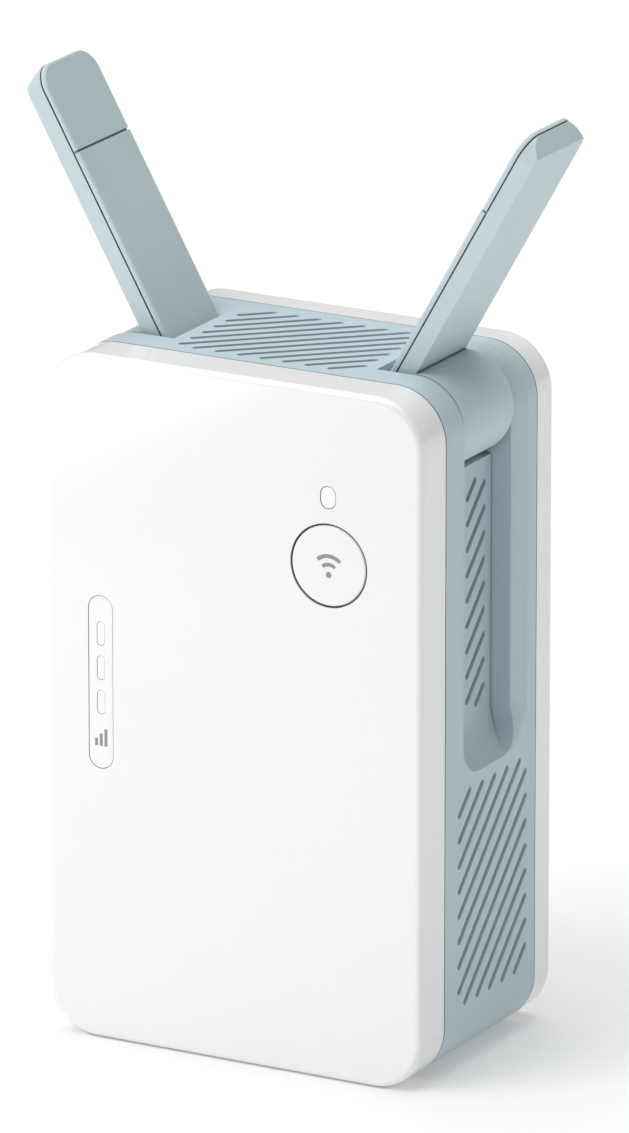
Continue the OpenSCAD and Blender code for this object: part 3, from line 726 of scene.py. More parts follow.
@dataclass(frozen=True)
class Moulding:
    """A moulded plastic, rubber, ceramic or film with grain, clouding, edges lightened partly by
    rubbing wear and partly as painted highlight, and painted shade in its gaps.
    """

    name: str
    base: Colour
    shade: Colour
    roughness: float = 0.5
    spread: float = 0.12
    grain_mm: float = 0.3
    grain_um: float = 6.0
    cloud_mm: float = 4.0
    cloud: float = 0.6
    # Lighter edge colour: partly rubbing wear, partly painted highlight on every sharp edge.
    edge: Colour = (235, 238, 240)
    edge_mm: float = 0.1
    edge_amount: float = 0.4
    coat: float = 0.0
    coat_roughness: float = 0.05
    marks: float = 0.0
    mark_mm: float = 22.0
    wear_mm: float = 3.5
    polish: float = 0.12
    ior: float = 1.48
    # Colour of the painted shade that darkens gaps, seams and grooves found by ambient occlusion.
    gap: Colour = (70, 84, 90)
    gap_mm: float = 0.5
    gap_amount: float = 0.85

    def build(self, effects: Effects) -> Material:
        """Make the material.

        Args:
            effects: Shared shader groups.

        Returns:
            The new material.
        """
        material, wire, shader = new_material(self.name)
        place = wire.add("ShaderNodeTexCoord").outputs["Object"]
        skin = effects.use(
            wire, effects.grain, Vector=place, Base=tint(*self.base), Shade=tint(*self.shade),
            Grain_Scale=1 / (self.grain_mm * MM), Cloud_Scale=1 / (self.cloud_mm * MM),
            Cloud=self.cloud, Roughness=self.roughness, Spread=self.spread,
        )
        rounded = wire.add("ShaderNodeBevel", samples=3)
        rounded.inputs["Radius"].default_value = self.edge_mm * MM
        dot = wire.add("ShaderNodeVectorMath", operation="DOT_PRODUCT")
        wire.feed(dot.inputs[0], rounded.outputs[0])
        wire.feed(dot.inputs[1], wire.add("ShaderNodeNewGeometry").outputs["Normal"])
        edge_light_and_wear = effects.use(
            wire, effects.edges, Vector=place, Amount=self.edge_amount,
            Normal_Away=wire.math("SUBTRACT", 1.0, dot.outputs["Value"]),
            Break_Scale=1 / (self.wear_mm * MM),
        )
        # Edges lightened towards the edge colour: partly wear, partly painted highlight.
        colour = wire.mix(edge_light_and_wear.outputs["Edge"], skin.outputs["Colour"], tint(*self.edge))
        # Painted shade: ambient occlusion mixes the gap colour into seams, slots and inner corners.
        near = wire.add("ShaderNodeAmbientOcclusion", samples=6)
        near.inputs["Distance"].default_value = self.gap_mm * MM
        gaps = effects.use(
            wire, effects.crevice, Vector=place, Open=near.outputs["AO"], Amount=self.gap_amount
        )
        painted_shade = gaps.outputs["Shut"]
        wire.feed(shader.inputs["Base Color"], wire.mix(painted_shade, colour, tint(*self.gap)))
        rough = skin.outputs["Roughness"]
        if self.marks:
            marks = effects.use(
                wire, effects.smudge, Vector=place, Amount=self.marks,
                Mark_Scale=1 / (self.mark_mm * MM),
            )
            rough = wire.math("ADD", rough, marks.outputs["Marks"], clamp=True)
        polished = wire.math("MULTIPLY_ADD", edge_light_and_wear.outputs["Edge"], -self.polish, rough, clamp=True)
        wire.feed(shader.inputs["Roughness"], polished)
        wire.relief(shader, skin.outputs["Height"], self.grain_um * UM)
        shader.inputs["Coat Weight"].default_value = self.coat
        shader.inputs["Coat Roughness"].default_value = self.coat_roughness
        shader.inputs["IOR"].default_value = self.ior
        return material


@dataclass(frozen=True)
class Metal:
    """A bare or plated metal with tool lines."""

    name: str
    base: Colour
    shade: Colour
    roughness: float = 0.3
    spread: float = 0.18
    line_mm: float = 0.12
    stretch: Triple = (1.0, 0.3, 1.0)
    line_um: float = 2.0

    def build(self, effects: Effects) -> Material:
        """Make the material.

        Args:
            effects: Shared shader groups.

        Returns:
            The new material.
        """
        material, wire, shader = new_material(self.name)
        mapping = wire.add("ShaderNodeMapping")
        wire.feed(mapping.inputs["Vector"], wire.add("ShaderNodeTexCoord").outputs["Object"])
        mapping.inputs["Scale"].default_value = self.stretch
        lines = effects.use(
            wire, effects.brushing, Vector=mapping.outputs["Vector"],
            Line_Scale=1 / (self.line_mm * MM), Base=tint(*self.base), Shade=tint(*self.shade),
            Roughness=self.roughness, Spread=self.spread,
        )
        wire.feed(shader.inputs["Base Color"], lines.outputs["Colour"])
        wire.feed(shader.inputs["Roughness"], lines.outputs["Roughness"])
        wire.relief(shader, lines.outputs["Height"], self.line_um * UM)
        shader.inputs["Metallic"].default_value = 1.0
        return material


@dataclass(frozen=True)
class Laminate:
    """Circuit board: green mask over copper tracks, with tinned pads."""

    name: str
    mask: Colour = (18, 78, 48)
    track: Colour = (34, 112, 66)
    pad: Colour = (196, 198, 200)
    runs_mm: Tuple[Triple, Triple] = ((0.9, 11.0, 0.32), (13.0, 1.1, 0.34))
    pad_step_mm: float = 3.1
    copper_um: float = 30.0

    def build(self, effects: Effects) -> Material:
        """Make the material.

        Args:
            effects: Shared shader groups.

        Returns:
            The new material.
        """
        material, wire, shader = new_material(self.name)
        turn = wire.add("ShaderNodeMapping")
        turn.inputs["Rotation"].default_value = (math.radians(90), 0.0, 0.0)
        place = wire.add("ShaderNodeTexCoord").outputs["Object"]
        wire.feed(turn.inputs["Vector"], place)
        tracks = []
        for width, height, gap in self.runs_mm:
            brick = wire.add(
                "ShaderNodeTexBrick", offset=0.37, offset_frequency=3, squash=1.6,
                squash_frequency=4,
            )
            wire.fill(brick, {
                "Vector": turn.outputs["Vector"], "Scale": BRICKS_PER_M, "Brick Width": width,
                "Row Height": height, "Mortar Size": gap / 2,
            })
            tracks.append(brick.outputs["Fac"])
        copper = wire.math("MAXIMUM", *tracks)
        cells = wire.add("ShaderNodeTexVoronoi", voronoi_dimensions="3D")
        wire.feed(cells.inputs["Vector"], place)
        cells.inputs["Scale"].default_value = 1 / (self.pad_step_mm * MM)
        pads = wire.remap(cells.outputs["Distance"], 0.16, 0.13)
        green = wire.mix(wire.math("MULTIPLY", copper, 0.7), tint(*self.mask), tint(*self.track))
        skin = effects.use(
            wire, effects.grain, Vector=place, Base=(1, 1, 1, 1), Shade=(0.8, 0.85, 0.8, 1),
            Grain_Scale=1 / (0.2 * MM), Cloud_Scale=1 / (9 * MM), Cloud=0.6, Roughness=0.28,
            Spread=0.1,
        )
        cloudy = wire.mix(1.0, green, skin.outputs["Colour"], "MULTIPLY")
        wire.feed(shader.inputs["Base Color"], wire.mix(pads, cloudy, tint(*self.pad)))
        wire.feed(shader.inputs["Roughness"], skin.outputs["Roughness"])
        wire.relief(shader, wire.math("MAXIMUM", copper, pads), self.copper_um * UM)
        return material


@dataclass(frozen=True)
class RuledFilm:
    """Printed label film: satin silver with thin rules and empty fields, and no words."""

    name: str
    base: Colour = (200, 203, 206)
    shade: Colour = (186, 189, 193)
    rule: Colour = (92, 96, 102)
    field_mm: Pair = (14.6, 5.6)
    rule_mm: float = 0.16
    corner_mm: Pair = (-21.9, -62.0)
    grain_um: float = 4.0

    def build(self, effects: Effects) -> Material:
        """Make the material.

        Args:
            effects: Shared shader groups.

        Returns:
            The new material.
        """
        material, wire, shader = new_material(self.name)
        place = wire.add("ShaderNodeTexCoord").outputs["Object"]
        split = wire.add("ShaderNodeSeparateXYZ")
        wire.feed(split.inputs[0], place)
        flat = wire.add("ShaderNodeCombineXYZ")
        for at, (axis, start) in enumerate(zip(("X", "Z"), self.corner_mm)):
            wire.feed(flat.inputs[at], wire.math("SUBTRACT", split.outputs[axis], start * MM))
        brick = wire.add("ShaderNodeTexBrick", offset=0.0, squash=2.0, squash_frequency=3)
        wire.feed(brick.inputs["Vector"], flat.outputs[0])
        wire.fill(brick, {
            "Scale": BRICKS_PER_M, "Brick Width": self.field_mm[0], "Row Height": self.field_mm[1],
            "Mortar Size": self.rule_mm,
        })
        skin = effects.use(
            wire, effects.grain, Vector=place, Base=tint(*self.base), Shade=tint(*self.shade),
            Grain_Scale=1 / (0.25 * MM), Cloud_Scale=1 / (20 * MM), Cloud=0.5, Roughness=0.34,
            Spread=0.1,
        )
        ink = wire.math("MULTIPLY", brick.outputs["Fac"], 0.75)
        printed = wire.mix(ink, skin.outputs["Colour"], tint(*self.rule))
        wire.feed(shader.inputs["Base Color"], printed)
        wire.feed(shader.inputs["Roughness"], skin.outputs["Roughness"])
        wire.relief(shader, skin.outputs["Height"], self.grain_um * UM)
        shader.inputs["Coat Weight"].default_value = 0.25
        shader.inputs["Coat Roughness"].default_value = 0.2
        return material


FINISHES: Dict[str, object] = {
    "white_gloss": Moulding(
        "gloss_white_case", (241, 241, 242), (236, 237, 239), roughness=0.16, spread=0.05,
        grain_mm=1.6, grain_um=1.2, cloud_mm=40.0, cloud=0.35, edge=(252, 252, 252), edge_mm=0.2,
        edge_amount=0.35, coat=0.5, coat_roughness=0.06, marks=0.06,
    ),
    "window_white": Moulding(
        "milky_window", (243, 243, 244), (236, 238, 240), roughness=0.14, spread=0.04, grain_mm=1.2,
        grain_um=0.8, cloud_mm=12.0, cloud=0.4, edge=(252, 252, 252), edge_amount=0.3, coat=0.4,
        coat_roughness=0.04, marks=0.03,
    ),
    "frame_blue": Moulding(
        "duck_egg_frame", (188, 207, 212), (180, 201, 207), grain_mm=0.32, grain_um=9.0,
        cloud_mm=18.0, cloud=0.55, edge=(222, 234, 238), edge_mm=0.22, edge_amount=0.35,
    ),
    # Painted light: the frame's duck-egg blue raised a little to stand in for the brighter light on
    # the antenna faces.
    "antenna_blue": Moulding(
        "duck_egg_antenna", (194, 211, 215), (186, 205, 210), roughness=0.47, grain_mm=0.32,
        grain_um=9.0, cloud_mm=16.0, cloud=0.55, edge=(222, 234, 238), edge_mm=0.25,
        edge_amount=0.35,
    ),
    "light_guide": Moulding(
        "light_guide_clear_white", (246, 247, 248), (238, 241, 244), roughness=0.12, spread=0.05,
        grain_mm=0.8, grain_um=0.8, cloud_mm=5.0, cloud=0.5, edge=(252, 252, 253), edge_mm=0.08,
        edge_amount=0.3, coat=0.5, coat_roughness=0.03,
    ),
    "print_grey": Moulding(
        "printed_grey", (148, 148, 150), (136, 136, 139), roughness=0.42, spread=0.1, grain_mm=0.12,
        grain_um=3.0, cloud_mm=2.0, cloud=0.5, edge=(160, 160, 162), edge_mm=0.05, edge_amount=0.2,
    ),
    "emitter": Moulding(
        "light_chip", (238, 226, 160), (222, 206, 128), roughness=0.3, spread=0.1, grain_mm=0.2,
        grain_um=2.0, cloud_mm=1.0, edge=(250, 246, 220), edge_mm=0.08, coat=0.3,
    ),
    "inner_white": Moulding(
        "satin_white", (232, 232, 232), (222, 223, 224), roughness=0.42, grain_mm=0.35,
        cloud_mm=14.0, cloud=0.5, edge=(246, 246, 246), edge_mm=0.25,
    ),
    "switch_black": Moulding(
        "switch_black", (34, 34, 36), (26, 26, 28), spread=0.15, grain_mm=0.2, cloud_mm=3.0,
        edge=(70, 70, 72), edge_amount=0.5,
    ),
    "plunger_white": Moulding(
        "plunger_white", (226, 226, 224), (212, 212, 210), roughness=0.45, spread=0.1, grain_mm=0.2,
        grain_um=4.0, cloud_mm=3.0, cloud=0.5, edge=(244, 244, 244), edge_amount=0.3,
    ),
    "board_green": Laminate("board_green"),
    "screw_steel": Metal("zinc_screw", (190, 192, 196), (160, 163, 170)),
    "pin_steel": Metal(
        "turned_steel", (196, 197, 200), (166, 168, 172), roughness=0.26, spread=0.16, line_mm=0.1,
        stretch=(1.0, 6.0, 1.0),
    ),
    "chip_black": Moulding(
        "chip_package", (30, 30, 32), (22, 22, 24), roughness=0.62, grain_mm=0.12, grain_um=8.0,
        edge=(58, 58, 60),
    ),
    "pad_grey": Moulding(
        "silicone_pad", (156, 166, 184), (140, 150, 170), roughness=0.75, spread=0.1, grain_mm=0.4,
        grain_um=20.0, cloud_mm=5.0, edge=(176, 184, 200), edge_mm=0.2, edge_amount=0.3,
    ),
    "sink_aluminium": Metal(
        "extruded_aluminium", (206, 208, 212), (178, 180, 186), roughness=0.36, spread=0.2,
        line_mm=0.3, stretch=(1.0, 1.0, 0.03), line_um=5.0,
    ),
    "shield_tin": Metal(
        "tinned_sheet", (200, 200, 196), (176, 177, 174), roughness=0.32, spread=0.14, line_mm=0.5,
        stretch=(0.2, 1.0, 1.0), line_um=3.0,
    ),
    "contact_gold": Metal(
        "gilt_contact", (226, 188, 104), (198, 154, 72), roughness=0.22, spread=0.12, line_mm=0.15,
        stretch=(1.0, 1.0, 0.1), line_um=1.0,
    ),
    "lead_black": Moulding(
        "black_lead", (30, 30, 30), (22, 22, 22), grain_um=8.0, cloud=0.5, edge=(56, 56, 56),
        edge_amount=0.3,
    ),
    "lead_red": Moulding(
        "red_lead", (158, 34, 30), (134, 24, 22), roughness=0.42, cloud=0.5, edge=(186, 70, 64),
        edge_amount=0.3,
    ),
    "lead_brown": Moulding(
        "brown_lead", (104, 62, 38), (84, 48, 28), roughness=0.42, cloud=0.5, edge=(136, 92, 66),
        edge_amount=0.3,
    ),
    "insert_black": Moulding(
        "socket_insert", (34, 34, 36), (26, 26, 28), grain_mm=0.25, grain_um=8.0, cloud_mm=6.0,
        edge=(66, 66, 68), edge_mm=0.15,
    ),
    "ferrite": Moulding(
        "ferrite", (58, 58, 60), (42, 42, 46), roughness=0.6, spread=0.2, grain_mm=0.25,
        grain_um=25.0, cloud_mm=3.0, cloud=0.8, edge=(96, 96, 98), edge_mm=0.3, edge_amount=0.6,
    ),
    "winding_tape": Moulding(
        "yellow_tape", (220, 178, 62), (204, 158, 44), roughness=0.34, spread=0.14, grain_mm=0.6,
        grain_um=18.0, cloud_mm=3.0, edge=(236, 206, 120), edge_mm=0.2, coat=0.3,
        coat_roughness=0.15,
    ),
    "can_sleeve": Moulding(
        "can_sleeve", (32, 40, 74), (24, 30, 58), roughness=0.3, spread=0.1, grain_mm=0.4,
        cloud_mm=5.0, edge=(70, 80, 120), edge_mm=0.2, coat=0.4, coat_roughness=0.1,
    ),
    "film_box": Moulding(
        "film_box", (222, 160, 42), (202, 138, 30), roughness=0.32, edge=(238, 196, 110),
        edge_mm=0.2, edge_amount=0.5, coat=0.3, coat_roughness=0.12,
    ),
    "fuse_body": Moulding(
        "fuse_body", (112, 62, 36), (92, 48, 28), roughness=0.32, spread=0.1, edge=(150, 100, 72),
        edge_mm=0.15, coat=0.3, coat_roughness=0.1,
    ),
    "pin_nickel": Metal(
        "nickel_pin", (214, 208, 196), (192, 186, 174), roughness=0.16, spread=0.1, line_mm=0.2,
        stretch=(1.0, 0.04, 1.0), line_um=1.0,
    ),
    "sleeve_black": Moulding(
        "pin_sleeve", (34, 34, 35), (26, 26, 27), roughness=0.46, spread=0.1, grain_mm=0.25,
        grain_um=5.0, cloud_mm=5.0, cloud=0.5, edge=(62, 62, 64), edge_mm=0.15,
    ),
    "label_silver": RuledFilm("label_film"),
}

SLOT_OF: Dict[str, str] = {
    part["node"]: part["material_slot"] for part in frame["record"]["subparts"]
}


@dataclass
class Wardrobe:
    """Keeps one material for every slot and puts them on pieces."""

    effects: Effects = field(default_factory=Effects)
    made: Dict[str, Material] = field(default_factory=dict)

    def of_slot(self, slot: str) -> Material:
        """Give a slot's material, made when first asked for.

        Args:
            slot: Material slot.

        Returns:
            The slot's material.
        """
        if slot not in self.made:
            self.made[slot] = FINISHES[slot].build(self.effects)
        return self.made[slot]

    def dress(self, piece: Piece, slot: str) -> None:
        """Put one slot's material on a new piece."""
        piece.data.materials.clear()
        piece.data.materials.append(self.of_slot(slot))

    def soften_all(self, radii_mm: Dict[str, float]) -> List[str]:
        """Soften and dress several CAD nodes.

        Args:
            radii_mm: Width of the broken edges by CAD node.

        Returns:
            The CAD nodes, in order.
        """
        for node, radius_mm in radii_mm.items():
            self.dress(soften(node, radius_mm), SLOT_OF[node])
        return list(radii_mm)

    def dress_node(self, node: str) -> None:
        """Put the slot's material on a carried-over CAD node."""
        for place in frame["nodes"][node].material_slots:
            place.material = self.of_slot(SLOT_OF[node])


# ---------- sub-assemblies ----------


@dataclass
class CaseWork:
    """Front shell, vented middle frame, rear shell and their small parts."""

    parting_mm: float = 0.16
    frame_edge_mm: float = 0.12
    label_corner_mm: float = 1.6
    label_edge_mm: float = 0.03

    def build(self, wardrobe: Wardrobe) -> List[str]:
        """Build and dress the case, and list its CAD nodes."""
        done = wardrobe.soften_all({
            "front_shell": self.parting_mm, "mid_frame": self.frame_edge_mm,
            "rear_shell": self.parting_mm,
        })
        return done + [self._label(wardrobe)]

    def _label(self, wardrobe: Wardrobe) -> str:
        """Label film with rounded corners.

        Args:
            wardrobe: Materials.

        Returns:
            The CAD node that it stands for.
        """
        low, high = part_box("rating_label")
        label = add_block(low, high, "rating_label_film")
        edit(label)
        shape = bmesh.from_edit_mesh(label.data)
        clear_shape(shape)
        for edge in shape.edges:
            first, last = (v.co for v in edge.verts)
            edge.select_set(abs(first.y - last.y) > 0.5 * (high.y - low.y))
        bmesh.update_edit_mesh(label.data)
        bpy.ops.mesh.bevel(offset=self.label_corner_mm * MM, segments=8, affect="EDGES")
        close_edit()
        finish_edges(label, self.label_edge_mm * MM, 1)
        wardrobe.dress(label, SLOT_OF["rating_label"])
        hand_over(label, "rating_label")
        return "rating_label"


@dataclass
class FrontControls:
    """Signal window, light guides, pairing button and their print."""

    window_edge_mm: float = 0.08
    button_edge_mm: float = 0.06
    guide_edge_mm: float = 0.12

    def build(self, wardrobe: Wardrobe) -> List[str]:
        """Build and dress the front controls, and list their CAD nodes."""
        return wardrobe.soften_all({
            "signal_window": self.window_edge_mm, "signal_light_guide": self.window_edge_mm,
            "status_light_guide": self.window_edge_mm, "pairing_button": self.button_edge_mm,
            "button_guide": self.guide_edge_mm,
        })


@dataclass
class Antenna:
    """One folding antenna: outer half with its drum, inner cover, tip cap and inner parts."""

    side: Side
    lean_deg: float = 29.5
    inner_edge_mm: float = 0.5
    small_edge_mm: float = 0.1
    seam_mm: float = -8.07
    cover_mm: float = -9.34
    half_width_mm: float = 9.4
    joint_mm: Pair = (42.5, 42.9)
    tip_from_mm: float = 50.0
    tongue_sink_mm: float = 0.45
    tongue_lap_mm: float = 0.25
    tongue_inset_mm: float = 0.35
    near_mm: float = 0.02

    def _hinge(self) -> Vector:
        """Place of the hinge in metres."""
        name = self.side.label + "_antenna_hinge"
        return Vector(next(j["pos_m"] for j in frame["joints"] if j["name"] == name))

    def _local(self, point: Vector) -> Vector:
        """Turn a point into blade coordinates in mm: thickness, width, length.

        Args:
            point: Point in metres.

        Returns:
            Distances from the hinge axis along the upright blade.
        """
        away = (point - self._hinge()) / MM
        across = away.x * self.side.value
        lean = math.radians(self.lean_deg)
        thick = across * math.cos(lean) - away.z * math.sin(lean)
        along = across * math.sin(lean) + away.z * math.cos(lean)
        return Vector((thick, away.y, along))

    def build(self, wardrobe: Wardrobe) -> List[str]:
        """Build and dress the antenna.

        Args:
            wardrobe: Materials.

        Returns:
            The CAD nodes that new pieces stand for.
        """
        done = []
        for part in ("antenna_shell", "antenna_cover", "antenna_tip"):
            node = f"{self.side.label}_{part}"
            piece = moulded_copy(node, node + "_moulding")
            if part != "antenna_shell":
                self._cover_edges(piece)
            if part == "antenna_cover":
                piece = join_pieces([piece, self._tongue()], piece.name)
            finish_edges(piece, self.small_edge_mm * MM)
            wardrobe.dress(piece, SLOT_OF[node])
            hand_over(piece, node)
            done.append(node)
        return done

    def _world(self, thick: float, wide: float, along: float) -> Vector:
        """Turn blade coordinates into a point.

        Args:
            thick: Through the blade in mm.
            wide: Across the blade in mm.
            along: From the hinge axis in mm.

        Returns:
            The point in metres.
        """
        lean = math.radians(self.lean_deg)
        across = thick * math.cos(lean) + along * math.sin(lean)
        up = along * math.cos(lean) - thick * math.sin(lean)
        return self._hinge() + Vector((across * self.side.value, wide, up)) * MM

    def _tongue(self) -> Piece:
        """Strip under the joint across the inner face, which makes the joint a groove.

        Returns:
            The strip.
        """
        wide = self.half_width_mm - self.tongue_inset_mm
        low = (self.cover_mm + self.tongue_sink_mm, -wide, self.joint_mm[0] - self.tongue_lap_mm)
        high = (self.seam_mm - self.near_mm, wide, self.joint_mm[1] + self.tongue_lap_mm)
        strip = add_block(Vector(low), Vector(high), "joint_tongue")
        for vertex in strip.data.vertices:
            vertex.co = self._world(*vertex.co)
        edit(strip)
        bpy.ops.mesh.select_all(action="SELECT")
        bpy.ops.mesh.normals_make_consistent(inside=False)
        close_edit()
        return strip

    def _cover_edges(self, piece: Piece) -> None:
        """Round the rim of the inner face.

        Args:
            piece: Cover or tip.
        """
        rim = self.half_width_mm - 0.05
        face = min(self._local(v.co).x for v in piece.data.vertices)

        def inner(point: Vector) -> bool:
            """True on the rim of the inner face, away from the joint across it."""
            at = self._local(point)
            outer = abs(at.y) > rim or at.z > self.tip_from_mm
            return abs(at.x - face) < self.near_mm and outer

        round_edges(piece, inner, self.inner_edge_mm * MM, 4)


@dataclass
class MainsPlug:
    """Moulded block, pins and sleeves behind the case."""

    block_edge_mm: float = 0.4
    pin_edge_mm: float = 0.1

    def build(self, wardrobe: Wardrobe) -> List[str]:
        """Build and dress the plug, and list its CAD nodes."""
        return wardrobe.soften_all({
            "plug_base": self.block_edge_mm, "plug_pins": self.pin_edge_mm,
            "pin_sleeves": self.pin_edge_mm,
        })


@dataclass
class Electronics:
    """Boards, socket, power parts and fasteners inside the case."""

    edge_mm: Dict[str, float] = field(default_factory=lambda: {
        "processor": 0.12, "memory_chip": 0.1, "thermal_pad": 0.08, "heat_sink": 0.1,
        "radio_shields": 0.12, "ethernet_shell": 0.08, "ethernet_insert": 0.08,
        "transformer_core": 0.15, "transformer_winding": 0.2, "film_capacitor": 0.25, "fuse": 0.2,
        "pairing_switch": 0.1, "reset_switch": 0.1, "housing_screws": 0.06,
    })
    can_edge_mm: float = 0.12
    rim_mm: float = 0.7
    dish_mm: float = 0.25
    crimp_mm: Pair = (1.4, 2.6)
    crimp_in: float = 0.93
    wire_mm: float = 0.34
    wire_proud: float = 0.8
    turns: int = 22
    bare_deg: float = 42.0

    def build(self, wardrobe: Wardrobe) -> List[str]:
        """Build and dress the inner parts.

        Args:
            wardrobe: Materials.

        Returns:
            The CAD nodes that new pieces stand for.
        """
        done = wardrobe.soften_all(self.edge_mm)
        for node in ("mains_capacitors", "output_capacitors"):
            cans = [self._can(low, high) for low, high in solid_boxes(node)]
            piece = join_pieces(cans, node + "_cans")
            finish_edges(piece, self.can_edge_mm * MM)
            wardrobe.dress(piece, SLOT_OF[node])
            hand_over(piece, node)
            done.append(node)
        self._choke_wire(wardrobe)
        return done

    def _can(self, low: Vector, high: Vector) -> Piece:
        """Capacitor can with a dished top and a crimped groove near its foot.

        Args:
            low: Lowest corner of the can.
            high: Highest corner of the can.

        Returns:
            The can, standing on the board at its high Y end.
        """
        radius = (high.x - low.x) / 2
        centre = (low + high) / 2
        can = add_rod(centre, Vector((0.0, 1.0, 0.0)), radius, high.y - low.y, "can", 40)
        edit(can)
        bpy.context.tool_settings.mesh_select_mode = (False, False, True)
        select_faces(can, lambda middle, normal: normal.y < -0.9)
        bpy.ops.mesh.inset(thickness=self.rim_mm * MM)
        bpy.ops.transform.translate(value=(0.0, self.dish_mm * MM, 0.0))
        middle = sum(self.crimp_mm) / 2
        for rise in (self.crimp_mm[0], middle, self.crimp_mm[1]):
            bpy.ops.mesh.select_all(action="SELECT")
            at = (0.0, high.y - rise * MM, 0.0)
            bpy.ops.mesh.bisect(plane_co=at, plane_no=(0.0, 1.0, 0.0))
        bpy.context.tool_settings.mesh_select_mode = (True, False, False)
        ring = high.y - middle * MM
        shape = bmesh.from_edit_mesh(can.data)
        clear_shape(shape)
        for vertex in shape.verts:
            vertex.select_set(abs(vertex.co.y - ring) < UM)
        bmesh.update_edit_mesh(can.data)
        bpy.ops.transform.resize(
            value=(self.crimp_in, 1.0, self.crimp_in), center_override=(centre.x, ring, centre.z)
        )
        close_edit()
        return can

    def _choke_wire(self, wardrobe: Wardrobe) -> None:
        """Wire turns round the choke's ring, open where it stands on the board.

        Args:
            wardrobe: Materials.
        """
        low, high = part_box("line_choke")
        centre = (low + high) / 2
        tube = (high.x - low.x) / 2
        ring = (high.y - low.y) / 2 - tube
        start = math.radians(self.bare_deg)
        loops = []
        for at in range(self.turns):
            angle = start + at * (math.tau - 2 * start) / (self.turns - 1)
            away = Vector((0.0, math.cos(angle), math.sin(angle)))
            deselect_all()
            bpy.ops.mesh.primitive_torus_add(
                major_segments=20, minor_segments=8, minor_radius=self.wire_mm * MM,
                major_radius=tube + self.wire_mm * MM * self.wire_proud,
                location=centre + away * ring,
            )
            loop = bpy.context.object
            loop.rotation_mode = "QUATERNION"
            along = away.cross(Vector((1.0, 0.0, 0.0)))
            loop.rotation_quaternion = along.to_track_quat("Z", "Y")
            loops.append(settle(loop))
        wire = join_pieces(loops, "choke_wire")
        pick(wire)
        bpy.ops.object.shade_smooth()
        wardrobe.dress(wire, "contact_gold")
        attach(wire, Body.HOUSING.value)
        LOG.info("choke_wire: %d turns", self.turns)


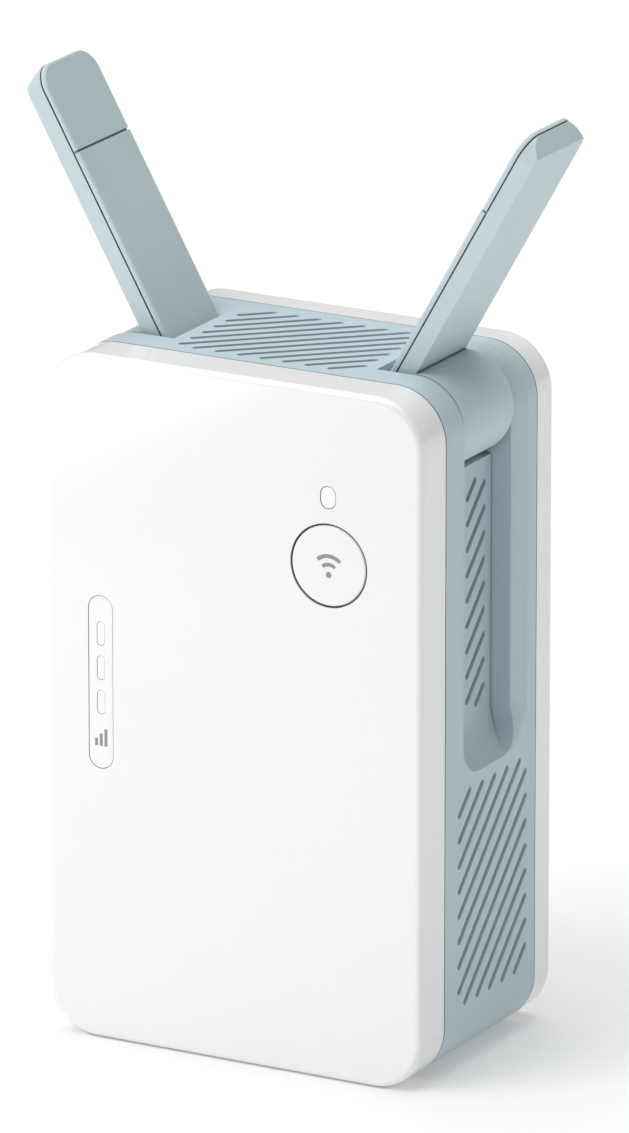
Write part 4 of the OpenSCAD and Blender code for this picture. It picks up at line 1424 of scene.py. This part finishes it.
@dataclass
class Studio:
    """Pale floor, soft lights and the camera."""

    floor_half: float = 6.0
    floor_drop_mm: float = 0.05
    floor_grey: float = 0.74
    floor_roughness: float = 0.9
    floor_glow: float = 0.22
    room_light: float = 0.34
    lens_mm: float = 389.7
    camera_at: Triple = (1.02796, -1.88882, 0.66442)
    right: Triple = (0.87617, 0.48201, 0.0)
    up: Triple = (-0.14140, 0.25703, 0.95600)
    back: Triple = (0.46080, -0.83762, 0.29335)

    def build(self) -> None:
        """Build the floor, lights, world and camera."""
        self._floor()
        self._world()
        self._sky_light("top_light", away=(-0.12, 0.1, 1.0), spread_deg=60.0, power=1.7)
        self._sky_light("key_light", away=(-0.45, -0.75, 0.9), spread_deg=35.0, power=0.95)
        self._panel(
            "gloss_panel", at=(-0.215, -0.30, 0.035), aim=(-0.03, -0.05, 0.02), size=(0.15, 0.2),
            power=0.2, roll_deg=18.0,
        )
        self._camera()
        view = bpy.context.scene.view_settings
        view.view_transform = "Standard"
        view.look = "None"

    def _floor(self) -> None:
        """Large pale floor under the case."""
        low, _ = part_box("mid_frame")
        deselect_all()
        below = low.z - self.floor_drop_mm * MM
        bpy.ops.mesh.primitive_plane_add(size=2 * self.floor_half, location=(0.0, 0.0, below))
        floor = bpy.context.object
        floor.name = "floor"
        material, wire, shader = new_material("pale_floor")
        wire.fill(shader, {
            "Base Color": (self.floor_grey, self.floor_grey, self.floor_grey, 1.0),
            "Roughness": self.floor_roughness, "Emission Color": (1.0, 1.0, 1.0, 1.0),
            "Emission Strength": self.floor_glow,
        })
        floor.data.materials.append(material)

    def _world(self) -> None:
        """Even white surroundings."""
        world = bpy.data.worlds.new("white_room")
        bpy.context.scene.world = world
        world.use_nodes = True
        lit = world.node_tree.nodes["Background"]
        lit.inputs["Color"].default_value = (1.0, 1.0, 1.0, 1.0)
        lit.inputs["Strength"].default_value = self.room_light

    def _hang(
        self, name: str, lamp: bpy.types.Light, at: Vector, away: Vector, roll_deg: float = 0.0
    ) -> None:
        """Place a light so that it shines against a direction.

        Args:
            name: Name of the light.
            lamp: Light data.
            at: Its place in metres.
            away: Direction from the case to the light.
            roll_deg: Turn about its own axis.
        """
        holder = bpy.data.objects.new(name, lamp)
        holder.location = at
        holder.rotation_mode = "QUATERNION"
        roll = Quaternion((0.0, 0.0, 1.0), math.radians(roll_deg))
        holder.rotation_quaternion = (-away).to_track_quat("-Z", "Y") @ roll
        holder.visible_camera = False
        bpy.context.scene.collection.objects.link(holder)

    def _sky_light(self, name: str, away: Triple, spread_deg: float, power: float) -> None:
        """Add a far, very soft light.

        Args:
            name: Name of the light.
            away: Direction from the case to the light.
            spread_deg: Angle that the light fills.
            power: Strength.
        """
        lamp = bpy.data.lights.new(name, "SUN")
        lamp.angle = math.radians(spread_deg)
        lamp.energy = power
        self._hang(name, lamp, Vector(away), Vector(away))

    def _panel(
        self, name: str, at: Triple, aim: Triple, size: Pair, power: float, roll_deg: float
    ) -> None:
        """Add a rectangular soft panel.

        Args:
            name: Name of the light.
            at: Its place in metres.
            aim: Point that it faces.
            size: Width and height in metres.
            power: Watts.
            roll_deg: Turn about its own axis.
        """
        lamp = bpy.data.lights.new(name, "AREA")
        lamp.shape = "RECTANGLE"
        lamp.size, lamp.size_y = size
        lamp.energy = power
        self._hang(name, lamp, Vector(at), Vector(at) - Vector(aim), roll_deg)

    def _camera(self) -> None:
        """Long lens from the front right, a little above."""
        data = bpy.data.cameras.new("camera")
        data.lens = self.lens_mm
        data.sensor_width = 36.0
        data.clip_start, data.clip_end = 0.05, 40.0
        camera = bpy.data.objects.new("camera", data)
        axes = Matrix((self.right, self.up, self.back)).transposed().to_4x4()
        camera.matrix_world = Matrix.Translation(self.camera_at) @ axes
        bpy.context.scene.collection.objects.link(camera)
        bpy.context.scene.camera = camera


def main() -> None:
    """Build the sub-assemblies in order, dress what stays, and set up the studio."""
    logging.basicConfig(level=logging.INFO, format="%(name)s: %(message)s")
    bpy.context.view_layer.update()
    wardrobe = Wardrobe()
    done: List[str] = []
    for assembly in (
        CaseWork(), FrontControls(), Antenna(Side.RIGHT), Antenna(Side.LEFT), MainsPlug(),
        Electronics(),
    ):
        done += assembly.build(wardrobe)
    for node in frame["nodes"]:
        if node not in done:
            wardrobe.dress_node(node)
            LOG.info("%s stays, in %s", node, SLOT_OF[node])
    Studio().build()
    bpy.context.view_layer.update()


if __name__ == "__main__":
    main()
